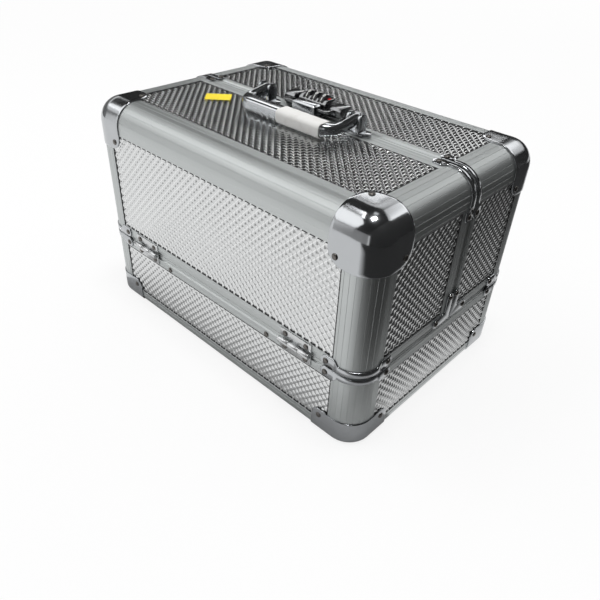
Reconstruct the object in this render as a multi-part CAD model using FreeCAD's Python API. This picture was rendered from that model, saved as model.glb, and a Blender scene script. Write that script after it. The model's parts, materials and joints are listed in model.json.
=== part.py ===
import FreeCAD, Part
import math
import os

# A makeup train case: a base tub and two lids that meet in a split along the top.
# Millimetres. +X runs along the long front, -Y is the front, +Z is up.
# The origin lies on the resting plane, under the middle of the case.

# Case body
case_length = 320.0
case_depth = 216.0
case_height = 200.0
parting_height = 71.0
lid_gap = 0.3
split_line = 9.0
edge_radius = 20.0
profile_lip = 6.0
profile_wall = 1.5
panel_recess = 1.0
panel_thickness = 4.0
inner_lip = 1.5
channel_depth = 7.5
slot_depth = 6.0
base_rim_height = 11.0
lid_rim_height = 10.5
front_strip_width = 14.0
rear_strip_width = 8.0
rear_slot_depth = 4.0
trim_height = 11.0
trim_radius = 4.0
lining_thickness = 0.8
lining_gap = 0.3

# Corner caps, clamps, clips and feet of pressed sheet
sheet = 1.0
ball_reach = 39.0
ball_drop = 40.0
ball_cut = 9.0
low_cap_reach = 42.0
low_cap_height = 22.6
low_cap_band = 22.0
low_cap_lobe = 16.0
low_cap_cut = 6.0
clamp_reach = 32.0
clamp_band = 5.5
clamp_lobe = 4.8
lobe_cut = 2.4
clamp_margin = 0.6
clip_width = 9.0
clip_reach = 37.0
foot_arm = 8.0
foot_up = 27.0
foot_along = 24.0

# Hinges
hinge_inset = 63.0
hinge_width = 32.5
hinge_offset = 3.0
knuckle_radius = 2.4
knuckle_count = 3
knuckle_gap = 0.3
pin_radius = 1.2
running_fit = 0.05
leaf_height = 10.0

# Trays and their links
tray_end_gap = 7.7
tray_side_gap = 12.6
tray_split_gap = 3.0
tray_wall = 2.0
tray_bevel = 9.0
tray_height = 32.0
tray_gap = 4.0
tray_dividers = 2
lid_line_angle = 43.0
lower_pivot_share = 0.43
upper_pivot_share = 0.83
link_offset_share = 0.235
link_offset_down = 6.0
link_width = 11.0
link_thickness = 2.0
link_gap = 1.0
open_pivot_clearance = 0.3
tray_pin_radius = 2.5
pivot_plate_end = 5.0
pivot_plate_length = 22.0
pivot_plate_height = 9.0
pivot_plate_thickness = 1.2

# Handle
handle_spacing = 101.0
bracket_length = 30.0
bracket_base = 2.5
bracket_width = 12.0
ear_gap = 8.6
ear_thickness = 2.6
ear_height = 16.5
ear_radius = 5.0
handle_pin_radius = 1.6
pivot_rise = 11.2
handle_reach = 29.5
arm_width = 8.0
arm_height = 9.0
grip_height = 10.5
grip_depth = 14.0
grip_rest_gap = 2.0
grip_rounding = 3.8
bail_corner = 19.0
sleeve_length = 46.0
sleeve_start = -3.0
sleeve_wall = 0.7

# Combination lock
lock_plate_length = 64.0
lock_plate_depth = 31.0
lock_plate_thickness = 1.5
lock_offset = -5.0
lock_setback = 1.0
housing_length = 30.0
housing_depth = 16.0
housing_height = 11.0
housing_bevel = 3.0
dial_radius = 6.8
dial_width = 5.0
dial_pitch = 8.3
dial_clearance = 0.35
dial_sides = 10
axle_radius = 1.5
axle_rise = 7.2
slide_length = 11.0
slide_height = 8.5
slide_travel = 5.0
slide_gap = 0.8
slide_clearance = 0.15
slide_bevel = 2.0
finger_reach = 9.0
finger_rise = 6.8
finger_thickness = 3.0
tongue_width = 2.4
tongue_length = 4.0
tongue_clearance = 0.3
strike_length = 26.0
strike_base = 1.5
strike_block_length = 25.0
strike_block_depth = 9.0
strike_block_height = 10.5
strike_bevel = 1.5
mark_length = 1.6
mark_depth = 3.0
mark_height = 0.4

# Worked out from the values above
half_length = case_length / 2
half_depth = case_depth / 2
corner_reach = edge_radius + profile_lip
panel_back = panel_recess + panel_thickness
lid_bottom = parting_height + lid_gap / 2
base_top = parting_height - lid_gap / 2
hinge_y = half_depth + hinge_offset
hinge_spacing = case_length - 2 * hinge_inset
end_panel_face = half_length - panel_back
lining_face = end_panel_face - lining_thickness
tray_half_length = lining_face - tray_end_gap
tray_outer = half_depth - tray_side_gap
tray_inner = split_line + tray_split_gap
lower_pivot_reach = lower_pivot_share * hinge_y
upper_pivot_reach = upper_pivot_share * hinge_y
link_offset_in = link_offset_share * hinge_y
link_inner = tray_half_length + link_gap
link_outer = link_inner + link_thickness
Vec = FreeCAD.Vector
along_x = Vec(1, 0, 0)
along_y = Vec(0, 1, 0)
along_z = Vec(0, 0, 1)
origin = Vec(0, 0, 0)


class Lid:
    """One half of the top: side is -1 at the front and +1 at the rear."""

    def __init__(self, name, side, strip_width, strip_slot):
        self.name = name
        self.side = side
        self.split_edge = split_line + side * lid_gap / 2
        self.strip_width = strip_width
        self.strip_end = self.split_edge + side * strip_width
        self.panel_edge = self.strip_end - side * strip_slot
        self.strip_slot = strip_slot


front = Lid("front", -1, front_strip_width, slot_depth)
rear = Lid("rear", 1, rear_strip_width, rear_slot_depth)


def block(x_span, y_span, z_span):
    """A box between pairs of limits, given in either order."""
    lows = [min(s) for s in (x_span, y_span, z_span)]
    highs = [max(s) for s in (x_span, y_span, z_span)]
    size = [h - l for h, l in zip(highs, lows)]
    return Part.makeBox(*size, Vec(*lows))


def mirror_x(shape):
    return shape.mirror(origin, along_x)


def mirror_y(shape):
    return shape.mirror(origin, along_y)


def at_both_ends(shape):
    """The piece and its mirror image at the other end of the case."""
    return [shape, mirror_x(shape)]


def face_of(points):
    """A flat face with straight edges."""
    return Part.Face(Part.makePolygon(points + points[:1]))


def fuse(pieces):
    whole = pieces[0]
    for piece in pieces[1:]:
        whole = whole.fuse(piece)
    return whole.removeSplitter()


def rounded(shape, radius, chosen):
    """Fillet the edges for which chosen(edge) holds."""
    return shape.makeFillet(radius, [e for e in shape.Edges if chosen(e)])


def bevelled(shape, width, chosen):
    """Chamfer the edges for which chosen(edge) holds."""
    return shape.makeChamfer(width, [e for e in shape.Edges if chosen(e)])


def runs_along(edge, direction):
    """Whether an edge is straight and parallel to a direction."""
    if len(edge.Vertexes) != 2:
        return False
    run = edge.Vertexes[1].Point - edge.Vertexes[0].Point
    straight = abs(run.Length - edge.Length) < 1e-6
    return straight and run.cross(direction).Length < 1e-6 * run.Length


def touches(edge, point):
    return any(v.Point.distanceToPoint(point) < 1e-6 for v in edge.Vertexes)


def cylinder(radius, start, end):
    run = end - start
    return Part.makeCylinder(radius, run.Length, start, run)


def save(name, pieces):
    """Write one node: a single solid or a group of equal pieces."""
    solids = [s for piece in pieces for s in piece.Solids]
    shape = solids[0] if len(solids) == 1 else Part.makeCompound(solids)
    shape.exportStep("parts/" + name + ".step")


def edge_profile(place, run):
    """Quarter-round extrusion with a slot for a panel on each side.

    place(u, v) maps the section to space, with the arc's centre at u = v = 0.
    """
    outer = edge_radius
    slot_out = outer - panel_recess
    slot_in = slot_out - panel_thickness
    back = slot_in - inner_lip
    inner = outer - profile_wall
    meet = math.sqrt(inner ** 2 - inner_lip ** 2)
    half = math.sqrt(0.5)
    lip = -profile_lip
    right = [(outer, lip), (slot_out, lip), (slot_out, 0), (slot_in, 0), (slot_in, lip), (back, lip),
             (back, inner_lip), (meet, inner_lip)]
    left = [(v, u) for u, v in reversed(right)]
    outer_arc = Part.Arc(place(0, outer), place(outer * half, outer * half), place(outer, 0)).toShape()
    inner_arc = Part.Arc(place(meet, inner_lip), place(inner * half, inner * half),
                         place(inner_lip, meet)).toShape()
    edges = [Part.makeLine(place(outer, 0), place(*right[0]))]
    edges += [Part.makeLine(place(*a), place(*b)) for a, b in zip(right, right[1:])]
    edges.append(inner_arc)
    edges += [Part.makeLine(place(*a), place(*b)) for a, b in zip(left, left[1:])]
    edges.append(Part.makeLine(place(*left[-1]), place(0, outer)))
    edges.append(outer_arc)
    return Part.Face(Part.Wire(Part.__sortEdges__(edges))).extrude(run)


def channel(place, width, slot, run):
    """Straight strip whose slot grips a panel edge: place(d, h) has d inward from the outer face."""
    points = [(0, 0), (panel_recess, 0), (panel_recess, slot), (panel_back, slot), (panel_back, 0),
              (channel_depth, 0), (channel_depth, width), (0, width)]
    return face_of([place(d, h) for d, h in points]).extrude(run)


def rounded_corner(size, radius, foot=0.0):
    """A block below and behind the point (0, 0, 0): its outer edges rounded, or bevelled at a foot."""
    solid = block((-size, 0), (-size, 0), (-size, 0))
    if not foot:
        return rounded(solid, radius, lambda e: touches(e, origin))
    upright = rounded(solid, radius, lambda e: touches(e, origin) and runs_along(e, along_z))
    return bevelled(upright, foot, lambda e: all(abs(v.Point.z) < 1e-6 for v in e.Vertexes)
                    and e.CenterOfMass.x > -size + 1e-6 and e.CenterOfMass.y > -size + 1e-6)


def pressed_cap(reach, drop, corner_cut, foot=0.0):
    """Pressed corner at (0, 0, 0): a thin shell over the rounded corner, with bevelled lobes."""
    size = reach + drop
    shift = Vec(sheet, sheet, 0 if foot else sheet)
    inner = rounded_corner(size, edge_radius, foot)
    if foot:
        inner.translate(Vec(0, 0, -sheet))
    outer = rounded_corner(size + sheet, edge_radius + sheet, foot)
    outer.translate(shift)
    keep = block((-reach, sheet), (-reach, sheet), (-drop, sheet))
    inmost = Vec(-reach, -reach, -drop)
    keep = bevelled(keep, corner_cut, lambda e: touches(e, inmost))
    return outer.cut(inner).common(keep)


def corner_clamp(low, band_low):
    """Band round an upright corner with a wider lobe at each end, at x > 0 and y > 0."""
    high = low + 2 * clamp_lobe
    size = clamp_reach + 2 * clamp_lobe

    def upright_corner(grow):
        solid = block((half_length - size, half_length + grow), (half_depth - size, half_depth + grow),
                      (low, high))
        return rounded(solid, edge_radius + grow, lambda e: runs_along(e, along_z)
                       and e.CenterOfMass.x > half_length - 1e-6 and e.CenterOfMass.y > half_depth - 1e-6)

    def lobe(x_span, y_span):
        end = block(x_span, y_span, (low, high))
        across = along_y if x_span[1] - x_span[0] > y_span[1] - y_span[0] else along_x
        return bevelled(end, lobe_cut, lambda e: runs_along(e, across))

    inset_x = half_length - clamp_reach
    inset_y = half_depth - clamp_reach
    band = block((inset_x, half_length + sheet), (inset_y, half_depth + sheet),
                 (band_low, band_low + clamp_band))
    lobes = [lobe((inset_x - clamp_lobe, inset_x + clamp_lobe), (half_depth - sheet, half_depth + sheet)),
             lobe((half_length - sheet, half_length + sheet), (inset_y - clamp_lobe, inset_y + clamp_lobe))]
    return upright_corner(sheet).cut(upright_corner(0)).common(fuse([band] + lobes))


def at_all_corners(shape):
    """The piece at x > 0 and y > 0, repeated at the four upright corners."""
    return [s for end in at_both_ends(shape) for s in (end, mirror_y(end))]


def on_side(shape, side):
    """A piece made at y > 0, put at the front or the rear."""
    return shape if side > 0 else mirror_y(shape)


def hinge_x_spans(owner):
    """Where one leaf's knuckles lie along a hinge at x > 0: owner 0 is the base, 1 the lid."""
    pitch = hinge_width / knuckle_count
    start = (hinge_spacing - hinge_width) / 2
    spans = []
    for i in range(owner, knuckle_count, 2):
        low = start + i * pitch + (knuckle_gap / 2 if i else 0)
        high = start + (i + 1) * pitch - (knuckle_gap / 2 if i + 1 < knuckle_count else 0)
        spans.append((low, high))
    return spans


def hinge_leaf(up):
    """Leaf at x > 0 and y > 0 with its knuckles; up is +1 on the lid and -1 on the base."""
    start = (hinge_spacing - hinge_width) / 2
    clear = up * (knuckle_radius + knuckle_gap)
    skin = (half_depth, half_depth + sheet)
    pieces = [block((start, start + hinge_width), skin,
                    (parting_height + clear, parting_height + up * leaf_height))]
    spans = hinge_x_spans(1 if up > 0 else 0)
    for low, high in spans:
        axis = [Vec(x, hinge_y, parting_height) for x in (low, high)]
        pieces.append(block((low, high), skin, (parting_height, parting_height + clear)))
        pieces.append(cylinder(knuckle_radius, *axis))
    leaf = fuse(pieces)
    if up < 0:
        return leaf
    bore = [Vec(x, hinge_y, parting_height) for x in spans[0]]
    return leaf.cut(cylinder(pin_radius + running_fit, *bore))


def make_base():
    """The tub: panels in edge extrusions, with trims, caps, clamps and hinges."""
    panel_top = base_top - base_rim_height + slot_depth
    long_span = half_length - edge_radius
    short_span = half_depth - edge_radius
    end_x = half_length - corner_reach
    end_y = half_depth - corner_reach
    trim_step = panel_thickness

    bottom = block((-end_panel_face, end_panel_face), (-half_depth + panel_back, half_depth - panel_back),
                   (0, panel_thickness))
    bottom = bevelled(bottom, edge_radius - panel_back, lambda e: runs_along(e, along_z))
    save("base_bottom_panel", [bottom])

    long_wall = block((-long_span, long_span), (half_depth - panel_back, half_depth - panel_recess),
                      (trim_step, panel_top))
    short_wall = block((end_panel_face, half_length - panel_recess), (-short_span, short_span),
                       (trim_step, panel_top))
    save("base_wall_panels", [long_wall, mirror_y(long_wall), short_wall, mirror_x(short_wall)])

    upright_low = sheet + trim_radius
    upright = edge_profile(lambda u, v: Vec(half_length - edge_radius + u, half_depth - edge_radius + v,
                                            upright_low), along_z * (base_top - upright_low))
    save("base_corner_profiles", at_all_corners(upright))

    def trim(place, run):
        """Bottom trim: a rounded foot under the wall panel and a leg in front of it."""
        half = trim_radius * (1 - math.sqrt(0.5))
        corners = [(trim_radius, 0), (panel_back, 0), (panel_back, trim_step), (panel_recess, trim_step),
                   (panel_recess, trim_height), (0, trim_height), (0, trim_radius)]
        edges = [Part.makeLine(place(*a), place(*b)) for a, b in zip(corners, corners[1:])]
        edges.append(Part.Arc(place(0, trim_radius), place(half, half), place(trim_radius, 0)).toShape())
        return Part.Face(Part.Wire(edges)).extrude(run)

    long_trim = trim(lambda d, h: Vec(-end_x, half_depth - d, h), along_x * (2 * end_x))
    short_trim = trim(lambda d, h: Vec(half_length - d, -end_y, h), along_y * (2 * end_y))
    trims = [long_trim, mirror_y(long_trim), short_trim, mirror_x(short_trim)]
    save("base_bottom_trims", trims)

    rim_low = base_top - base_rim_height
    long_rim = channel(lambda d, h: Vec(-end_x, half_depth - d, rim_low + h), base_rim_height, slot_depth,
                       along_x * (2 * end_x))
    short_rim = channel(lambda d, h: Vec(half_length - d, -end_y, rim_low + h), base_rim_height, slot_depth,
                        along_y * (2 * end_y))
    save("base_rim_channels", [long_rim, mirror_y(long_rim), short_rim, mirror_x(short_rim)])

    cap = pressed_cap(low_cap_reach, low_cap_height, low_cap_cut, trim_radius)
    cap = cap.mirror(origin, along_z)
    cap.translate(Vec(half_length, half_depth, 0))
    dip = block((half_length - low_cap_reach + low_cap_lobe, half_length + sheet),
                (half_depth - low_cap_reach + low_cap_lobe, half_depth + sheet),
                (low_cap_band, low_cap_height))
    for piece in [bottom, long_trim, short_trim, dip]:
        cap = cap.cut(piece)
    save("base_corner_caps", at_all_corners(cap))

    clamp_low = base_top - clamp_margin - 2 * clamp_lobe
    clamp = corner_clamp(clamp_low, base_top - clamp_margin - clamp_band)
    save("base_corner_clamps", at_all_corners(clamp))

    leaf = hinge_leaf(-1)
    save("base_hinge_leaves", at_all_corners(leaf))
    near, far = hinge_x_spans(0)
    pin = cylinder(pin_radius, Vec(near[1], hinge_y, parting_height), Vec(far[0], hinge_y, parting_height))
    save("hinge_pins", at_all_corners(pin))

    floor = block((-end_x, end_x), (-end_y, end_y), (panel_thickness, panel_thickness + lining_thickness))
    lining_low = panel_thickness + lining_thickness
    lining_top = rim_low - lining_gap
    long_sheet = block((-end_x + lining_gap, end_x - lining_gap),
                       (half_depth - panel_back, half_depth - panel_back - lining_thickness),
                       (lining_low, lining_top))
    short_sheet = block((end_panel_face, lining_face), (-end_y + lining_gap, end_y - lining_gap),
                        (lining_low, lining_top))
    save("base_lining", [floor, long_sheet, mirror_y(long_sheet), short_sheet, mirror_x(short_sheet)])


def make_lid_shell(lid):
    """Panels, extrusions and linings of one lid, made at its own side."""
    side = lid.side
    long_span = half_length - edge_radius
    outer_y = side * (half_depth - edge_radius)
    end_x = half_length - corner_reach
    end_y = side * (half_depth - corner_reach)
    panel_low = lid_bottom + lid_rim_height - slot_depth
    panel_high = case_height - edge_radius
    rim_high = lid_bottom + lid_rim_height
    strip_high = case_height - corner_reach

    long_panel = block((-long_span, long_span),
                       (side * (half_depth - panel_back), side * (half_depth - panel_recess)),
                       (panel_low, panel_high))
    save(lid.name + "_long_panel", [long_panel])
    top_panel = block((-long_span, long_span), (outer_y, lid.panel_edge),
                      (case_height - panel_back, case_height - panel_recess))
    save(lid.name + "_top_panel", [top_panel])
    end_panel = block((end_panel_face, half_length - panel_recess), (outer_y, lid.panel_edge),
                      (panel_low, panel_high))
    save(lid.name + "_end_panels", at_both_ends(end_panel))

    long_top = edge_profile(lambda u, v: Vec(-end_x, side * (half_depth - edge_radius + u),
                                             case_height - edge_radius + v), along_x * (2 * end_x))
    end_top = edge_profile(lambda u, v: Vec(half_length - edge_radius + u, end_y,
                                            case_height - edge_radius + v), along_y * (lid.split_edge - end_y))
    save(lid.name + "_top_profiles", [long_top] + at_both_ends(end_top))
    upright = edge_profile(lambda u, v: Vec(half_length - edge_radius + u,
                                            side * (half_depth - edge_radius + v), lid_bottom),
                           along_z * (strip_high - lid_bottom))
    save(lid.name + "_corner_profiles", at_both_ends(upright))

    long_rim = channel(lambda d, h: Vec(-end_x, side * (half_depth - d), rim_high - h), lid_rim_height,
                       slot_depth, along_x * (2 * end_x))
    end_rim = channel(lambda d, h: Vec(half_length - d, end_y, rim_high - h), lid_rim_height, slot_depth,
                      along_y * (lid.split_edge - end_y))
    save(lid.name + "_rim_channels", [long_rim] + at_both_ends(end_rim))

    top_strip = channel(lambda d, h: Vec(-end_x, lid.strip_end - side * h, case_height - d), lid.strip_width,
                        lid.strip_slot, along_x * (2 * end_x))
    end_strip = channel(lambda d, h: Vec(half_length - d, lid.strip_end - side * h, rim_high),
                        lid.strip_width, lid.strip_slot, along_z * (strip_high - rim_high))
    save(lid.name + "_split_strips", [top_strip] + at_both_ends(end_strip))

    lining_span = end_x - lining_gap
    lining_y = (end_y - side * lining_gap, lid.strip_end + side * lining_gap)
    lining_z = (rim_high + lining_gap, strip_high - lining_gap)
    back = half_depth - panel_back
    under = case_height - panel_back
    end_sheet = block((end_panel_face, lining_face), lining_y, lining_z)
    sheets = [block((-lining_span, lining_span), (side * back, side * (back - lining_thickness)), lining_z),
              block((-lining_span, lining_span), lining_y, (under, under - lining_thickness))]
    save(lid.name + "_lining", sheets + at_both_ends(end_sheet))


def split_clip(lid):
    """Narrow band over the end profile beside the split, at x > 0."""
    inner = edge_radius
    outer = edge_radius + sheet
    leg = clip_reach - edge_radius
    half = math.sqrt(0.5)
    start = lid.split_edge + lid.side * clamp_margin

    def place(u, v):
        return Vec(half_length - edge_radius + u, start, case_height - edge_radius + v)

    edges = [Part.makeLine(place(-leg, inner), place(0, inner)),
             Part.Arc(place(0, inner), place(inner * half, inner * half), place(inner, 0)).toShape(),
             Part.makeLine(place(inner, 0), place(inner, -leg)),
             Part.makeLine(place(inner, -leg), place(outer, -leg)),
             Part.makeLine(place(outer, -leg), place(outer, 0)),
             Part.Arc(place(outer, 0), place(outer * half, outer * half), place(0, outer)).toShape(),
             Part.makeLine(place(0, outer), place(-leg, outer)),
             Part.makeLine(place(-leg, outer), place(-leg, inner))]
    return Part.Face(Part.Wire(edges)).extrude(along_y * (lid.side * clip_width))


def split_foot(lid):
    """L-shaped plate where the split strip stands on the rim, at x > 0."""
    start = lid.split_edge + lid.side * clamp_margin
    low = lid_bottom + clamp_margin
    corners = [(0, 0), (foot_along, 0), (foot_along, foot_arm), (foot_arm, foot_arm), (foot_arm, foot_up),
               (0, foot_up)]
    plate = face_of([Vec(half_length, start + lid.side * a, low + h) for a, h in corners])
    return plate.extrude(along_x * sheet)


def make_lid_hardware(lid):
    """Pressed corners, clamps, feet, clips and hinge leaves of one lid."""
    side = lid.side
    cap = pressed_cap(ball_reach, ball_drop, ball_cut)
    cap.translate(Vec(half_length, half_depth, case_height))
    save(lid.name + "_ball_corners", at_both_ends(on_side(cap, side)))

    clamp_low = lid_bottom + clamp_margin
    clamp = corner_clamp(clamp_low, clamp_low)
    save(lid.name + "_rim_brackets", at_both_ends(on_side(clamp, side)) + at_both_ends(split_foot(lid)))
    save(lid.name + "_split_clips", at_both_ends(split_clip(lid)))
    save(lid.name + "_hinge_leaves", at_both_ends(on_side(hinge_leaf(1), side)))


def linkage(reach):
    """Pivot on the lid at a distance from the hinge, as (y, z) measured at the rear."""
    angle = math.radians(lid_line_angle)
    return hinge_y - reach * math.cos(angle), parting_height + reach * math.sin(angle)


def link_end(reach):
    """Pivot on the link that carries the same tray; a reach of 0 is its foot on the base."""
    y, z = linkage(reach)
    return y - link_offset_in, z - link_offset_down


def tray(low, reach):
    """Open tray at y > 0 with its dividers, pivot holes and link pins."""
    def section(inset):
        """Outline with bevelled lower edges, offset inward from the outside of the tray."""
        high = low + tray_height + inset
        floor = low + inset
        left, right = tray_inner + inset, tray_outer - inset
        bevel = tray_bevel - inset * (2 - math.sqrt(2))
        points = [(left, high), (left, floor + bevel), (left + bevel, floor), (right - bevel, floor),
                  (right, floor + bevel), (right, high)]
        return face_of([Vec(0, y, z) for y, z in points])

    body = section(0).extrude(along_x * (2 * tray_half_length))
    body.translate(along_x * -tray_half_length)
    rooms = tray_dividers + 1
    room = (2 * tray_half_length - (rooms + 1) * tray_wall) / rooms
    for i in range(rooms):
        hollow = section(tray_wall).extrude(along_x * room)
        hollow.translate(along_x * (-tray_half_length + tray_wall + i * (room + tray_wall)))
        body = body.cut(hollow)
    pivot_y, pivot_z = linkage(reach)
    link_y, link_z = link_end(reach)
    hole = cylinder(tray_pin_radius + running_fit, Vec(tray_half_length, pivot_y, pivot_z),
                    Vec(tray_half_length - tray_wall, pivot_y, pivot_z))
    for end_hole in at_both_ends(hole):
        body = body.cut(end_hole)
    pin = cylinder(tray_pin_radius, Vec(tray_half_length, link_y, link_z), Vec(link_outer, link_y, link_z))
    return fuse([body] + at_both_ends(pin))


def tray_links():
    """Flat link at x > 0 and y > 0, from its foot on the base past both trays."""
    foot = link_end(0)
    ends = [Vec(link_inner, *foot), Vec(link_inner, *link_end(upper_pivot_reach))]
    run = (ends[1] - ends[0]).normalize()
    across = run.cross(along_x) * (link_width / 2)
    past = run * (link_width / 2)
    corners = [ends[0] - past + across, ends[1] + past + across, ends[1] + past - across,
               ends[0] - past - across]
    link = face_of(corners).extrude(along_x * link_thickness)
    link = bevelled(link, link_width / 3, lambda e: runs_along(e, along_x))
    holes = [(0, running_fit), (lower_pivot_reach, open_pivot_clearance),
             (upper_pivot_reach, open_pivot_clearance)]
    for reach, clearance in holes:
        centre = Vec(link_inner, *link_end(reach))
        link = link.cut(cylinder(tray_pin_radius + clearance, centre, centre + along_x * link_thickness))
    return link


def make_trays(lid):
    """Two cantilever trays of one lid, with their links and pivots."""
    lower_low = lid_bottom + lid_rim_height
    upper_low = lower_low + tray_height + tray_gap
    save(lid.name + "_lower_tray", [on_side(tray(lower_low, lower_pivot_reach), lid.side)])
    save(lid.name + "_upper_tray", [on_side(tray(upper_low, upper_pivot_reach), lid.side)])
    save(lid.name + "_tray_links", at_both_ends(on_side(tray_links(), lid.side)))

    pivots = []
    for reach in (lower_pivot_reach, upper_pivot_reach):
        y, z = linkage(reach)
        pin_ends = [Vec(x, y, z) for x in (lining_face, tray_half_length - tray_wall)]
        pivots.append(cylinder(tray_pin_radius, *pin_ends))
    save(lid.name + "_tray_pivots", [p for pivot in pivots for p in at_both_ends(on_side(pivot, lid.side))])


def make_link_feet():
    """Plates on the base rim that carry the feet of the tray links."""
    y, z = link_end(0)
    face = half_length - channel_depth
    plate = block((face, face - pivot_plate_thickness),
                  (y + pivot_plate_end, y + pivot_plate_end - pivot_plate_length),
                  (z - pivot_plate_height / 2, z + pivot_plate_height / 2))
    pin = cylinder(tray_pin_radius, Vec(face - pivot_plate_thickness / 2, y, z), Vec(link_inner, y, z))
    save("base_link_feet", at_all_corners(fuse([plate, pin])))


def make_handle():
    """Folding handle: clevis brackets on the front strip, pins, bail and grip sleeve."""
    centre_y = front.split_edge - front_strip_width / 2
    pivot_z = case_height + pivot_rise
    half_spacing = handle_spacing / 2
    bar_low = case_height + grip_rest_gap
    bar_y = centre_y - handle_reach

    base = block((half_spacing - bracket_length / 2, half_spacing + bracket_length / 2),
                 (centre_y - bracket_width / 2, centre_y + bracket_width / 2),
                 (case_height, case_height + bracket_base))
    base = bevelled(base, bracket_width / 3, lambda e: runs_along(e, along_z))
    ears = []
    for s in (-1, 1):
        near = half_spacing + s * ear_gap / 2
        far = near + s * ear_thickness
        ear = block((near, far), (centre_y - ear_radius, centre_y + ear_radius),
                    (case_height + bracket_base, case_height + ear_height))
        ears.append(rounded(ear, ear_radius * 0.98, lambda e: runs_along(e, along_x)
                            and e.CenterOfMass.z > pivot_z))
    save("handle_brackets", at_both_ends(fuse([base] + ears)))
    pin_axis = [Vec(half_spacing + s * ear_gap / 2, centre_y, pivot_z) for s in (-1, 1)]
    save("handle_pins", at_both_ends(cylinder(handle_pin_radius, *pin_axis)))

    outer_x = half_spacing + arm_width / 2
    inner_x = half_spacing - arm_width / 2
    top_y = centre_y + arm_height / 2
    front_y = bar_y - grip_depth / 2
    back_y = bar_y + grip_depth / 2
    plan = block((-outer_x, outer_x), (front_y, top_y), (bar_low, pivot_z + arm_height))
    plan = rounded(plan, bail_corner, lambda e: runs_along(e, along_z) and e.CenterOfMass.y < bar_y)
    gap = block((-inner_x, inner_x), (back_y, top_y + arm_height), (bar_low, pivot_z + arm_height))
    gap = rounded(gap, bail_corner - arm_width, lambda e: runs_along(e, along_z)
                  and e.CenterOfMass.y < centre_y)
    bar_high = bar_low + grip_height
    side_view = face_of([Vec(-outer_x, front_y, bar_low), Vec(-outer_x, back_y, bar_low),
                         Vec(-outer_x, centre_y, pivot_z - arm_height / 2),
                         Vec(-outer_x, centre_y, pivot_z + arm_height / 2),
                         Vec(-outer_x, back_y, bar_high), Vec(-outer_x, front_y, bar_high)])
    profile = side_view.extrude(along_x * (2 * outer_x))
    profile = rounded(profile, grip_rounding, lambda e: runs_along(e, along_x) and e.CenterOfMass.y < bar_y)
    eye = cylinder(arm_height / 2, Vec(-outer_x, centre_y, pivot_z), Vec(outer_x, centre_y, pivot_z))
    bail = plan.cut(gap).common(fuse([profile, eye]))
    bore = cylinder(handle_pin_radius + running_fit, Vec(-outer_x, centre_y, pivot_z),
                    Vec(outer_x, centre_y, pivot_z))
    bail = bail.cut(bore)
    save("handle_bail", [bail])

    cover = block((sleeve_start, sleeve_start + sleeve_length),
                  (front_y - sleeve_wall, back_y + sleeve_wall),
                  (bar_low - sleeve_wall, bar_high + sleeve_wall))
    cover = rounded(cover, grip_rounding + sleeve_wall, lambda e: runs_along(e, along_x)
                    and e.CenterOfMass.y < bar_y)
    save("handle_sleeve", [cover.cut(bail)])


def lock_origin():
    """Front edge and top of the lock plate, on the rear lid."""
    return rear.split_edge + lock_setback, case_height + lock_plate_thickness


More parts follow.
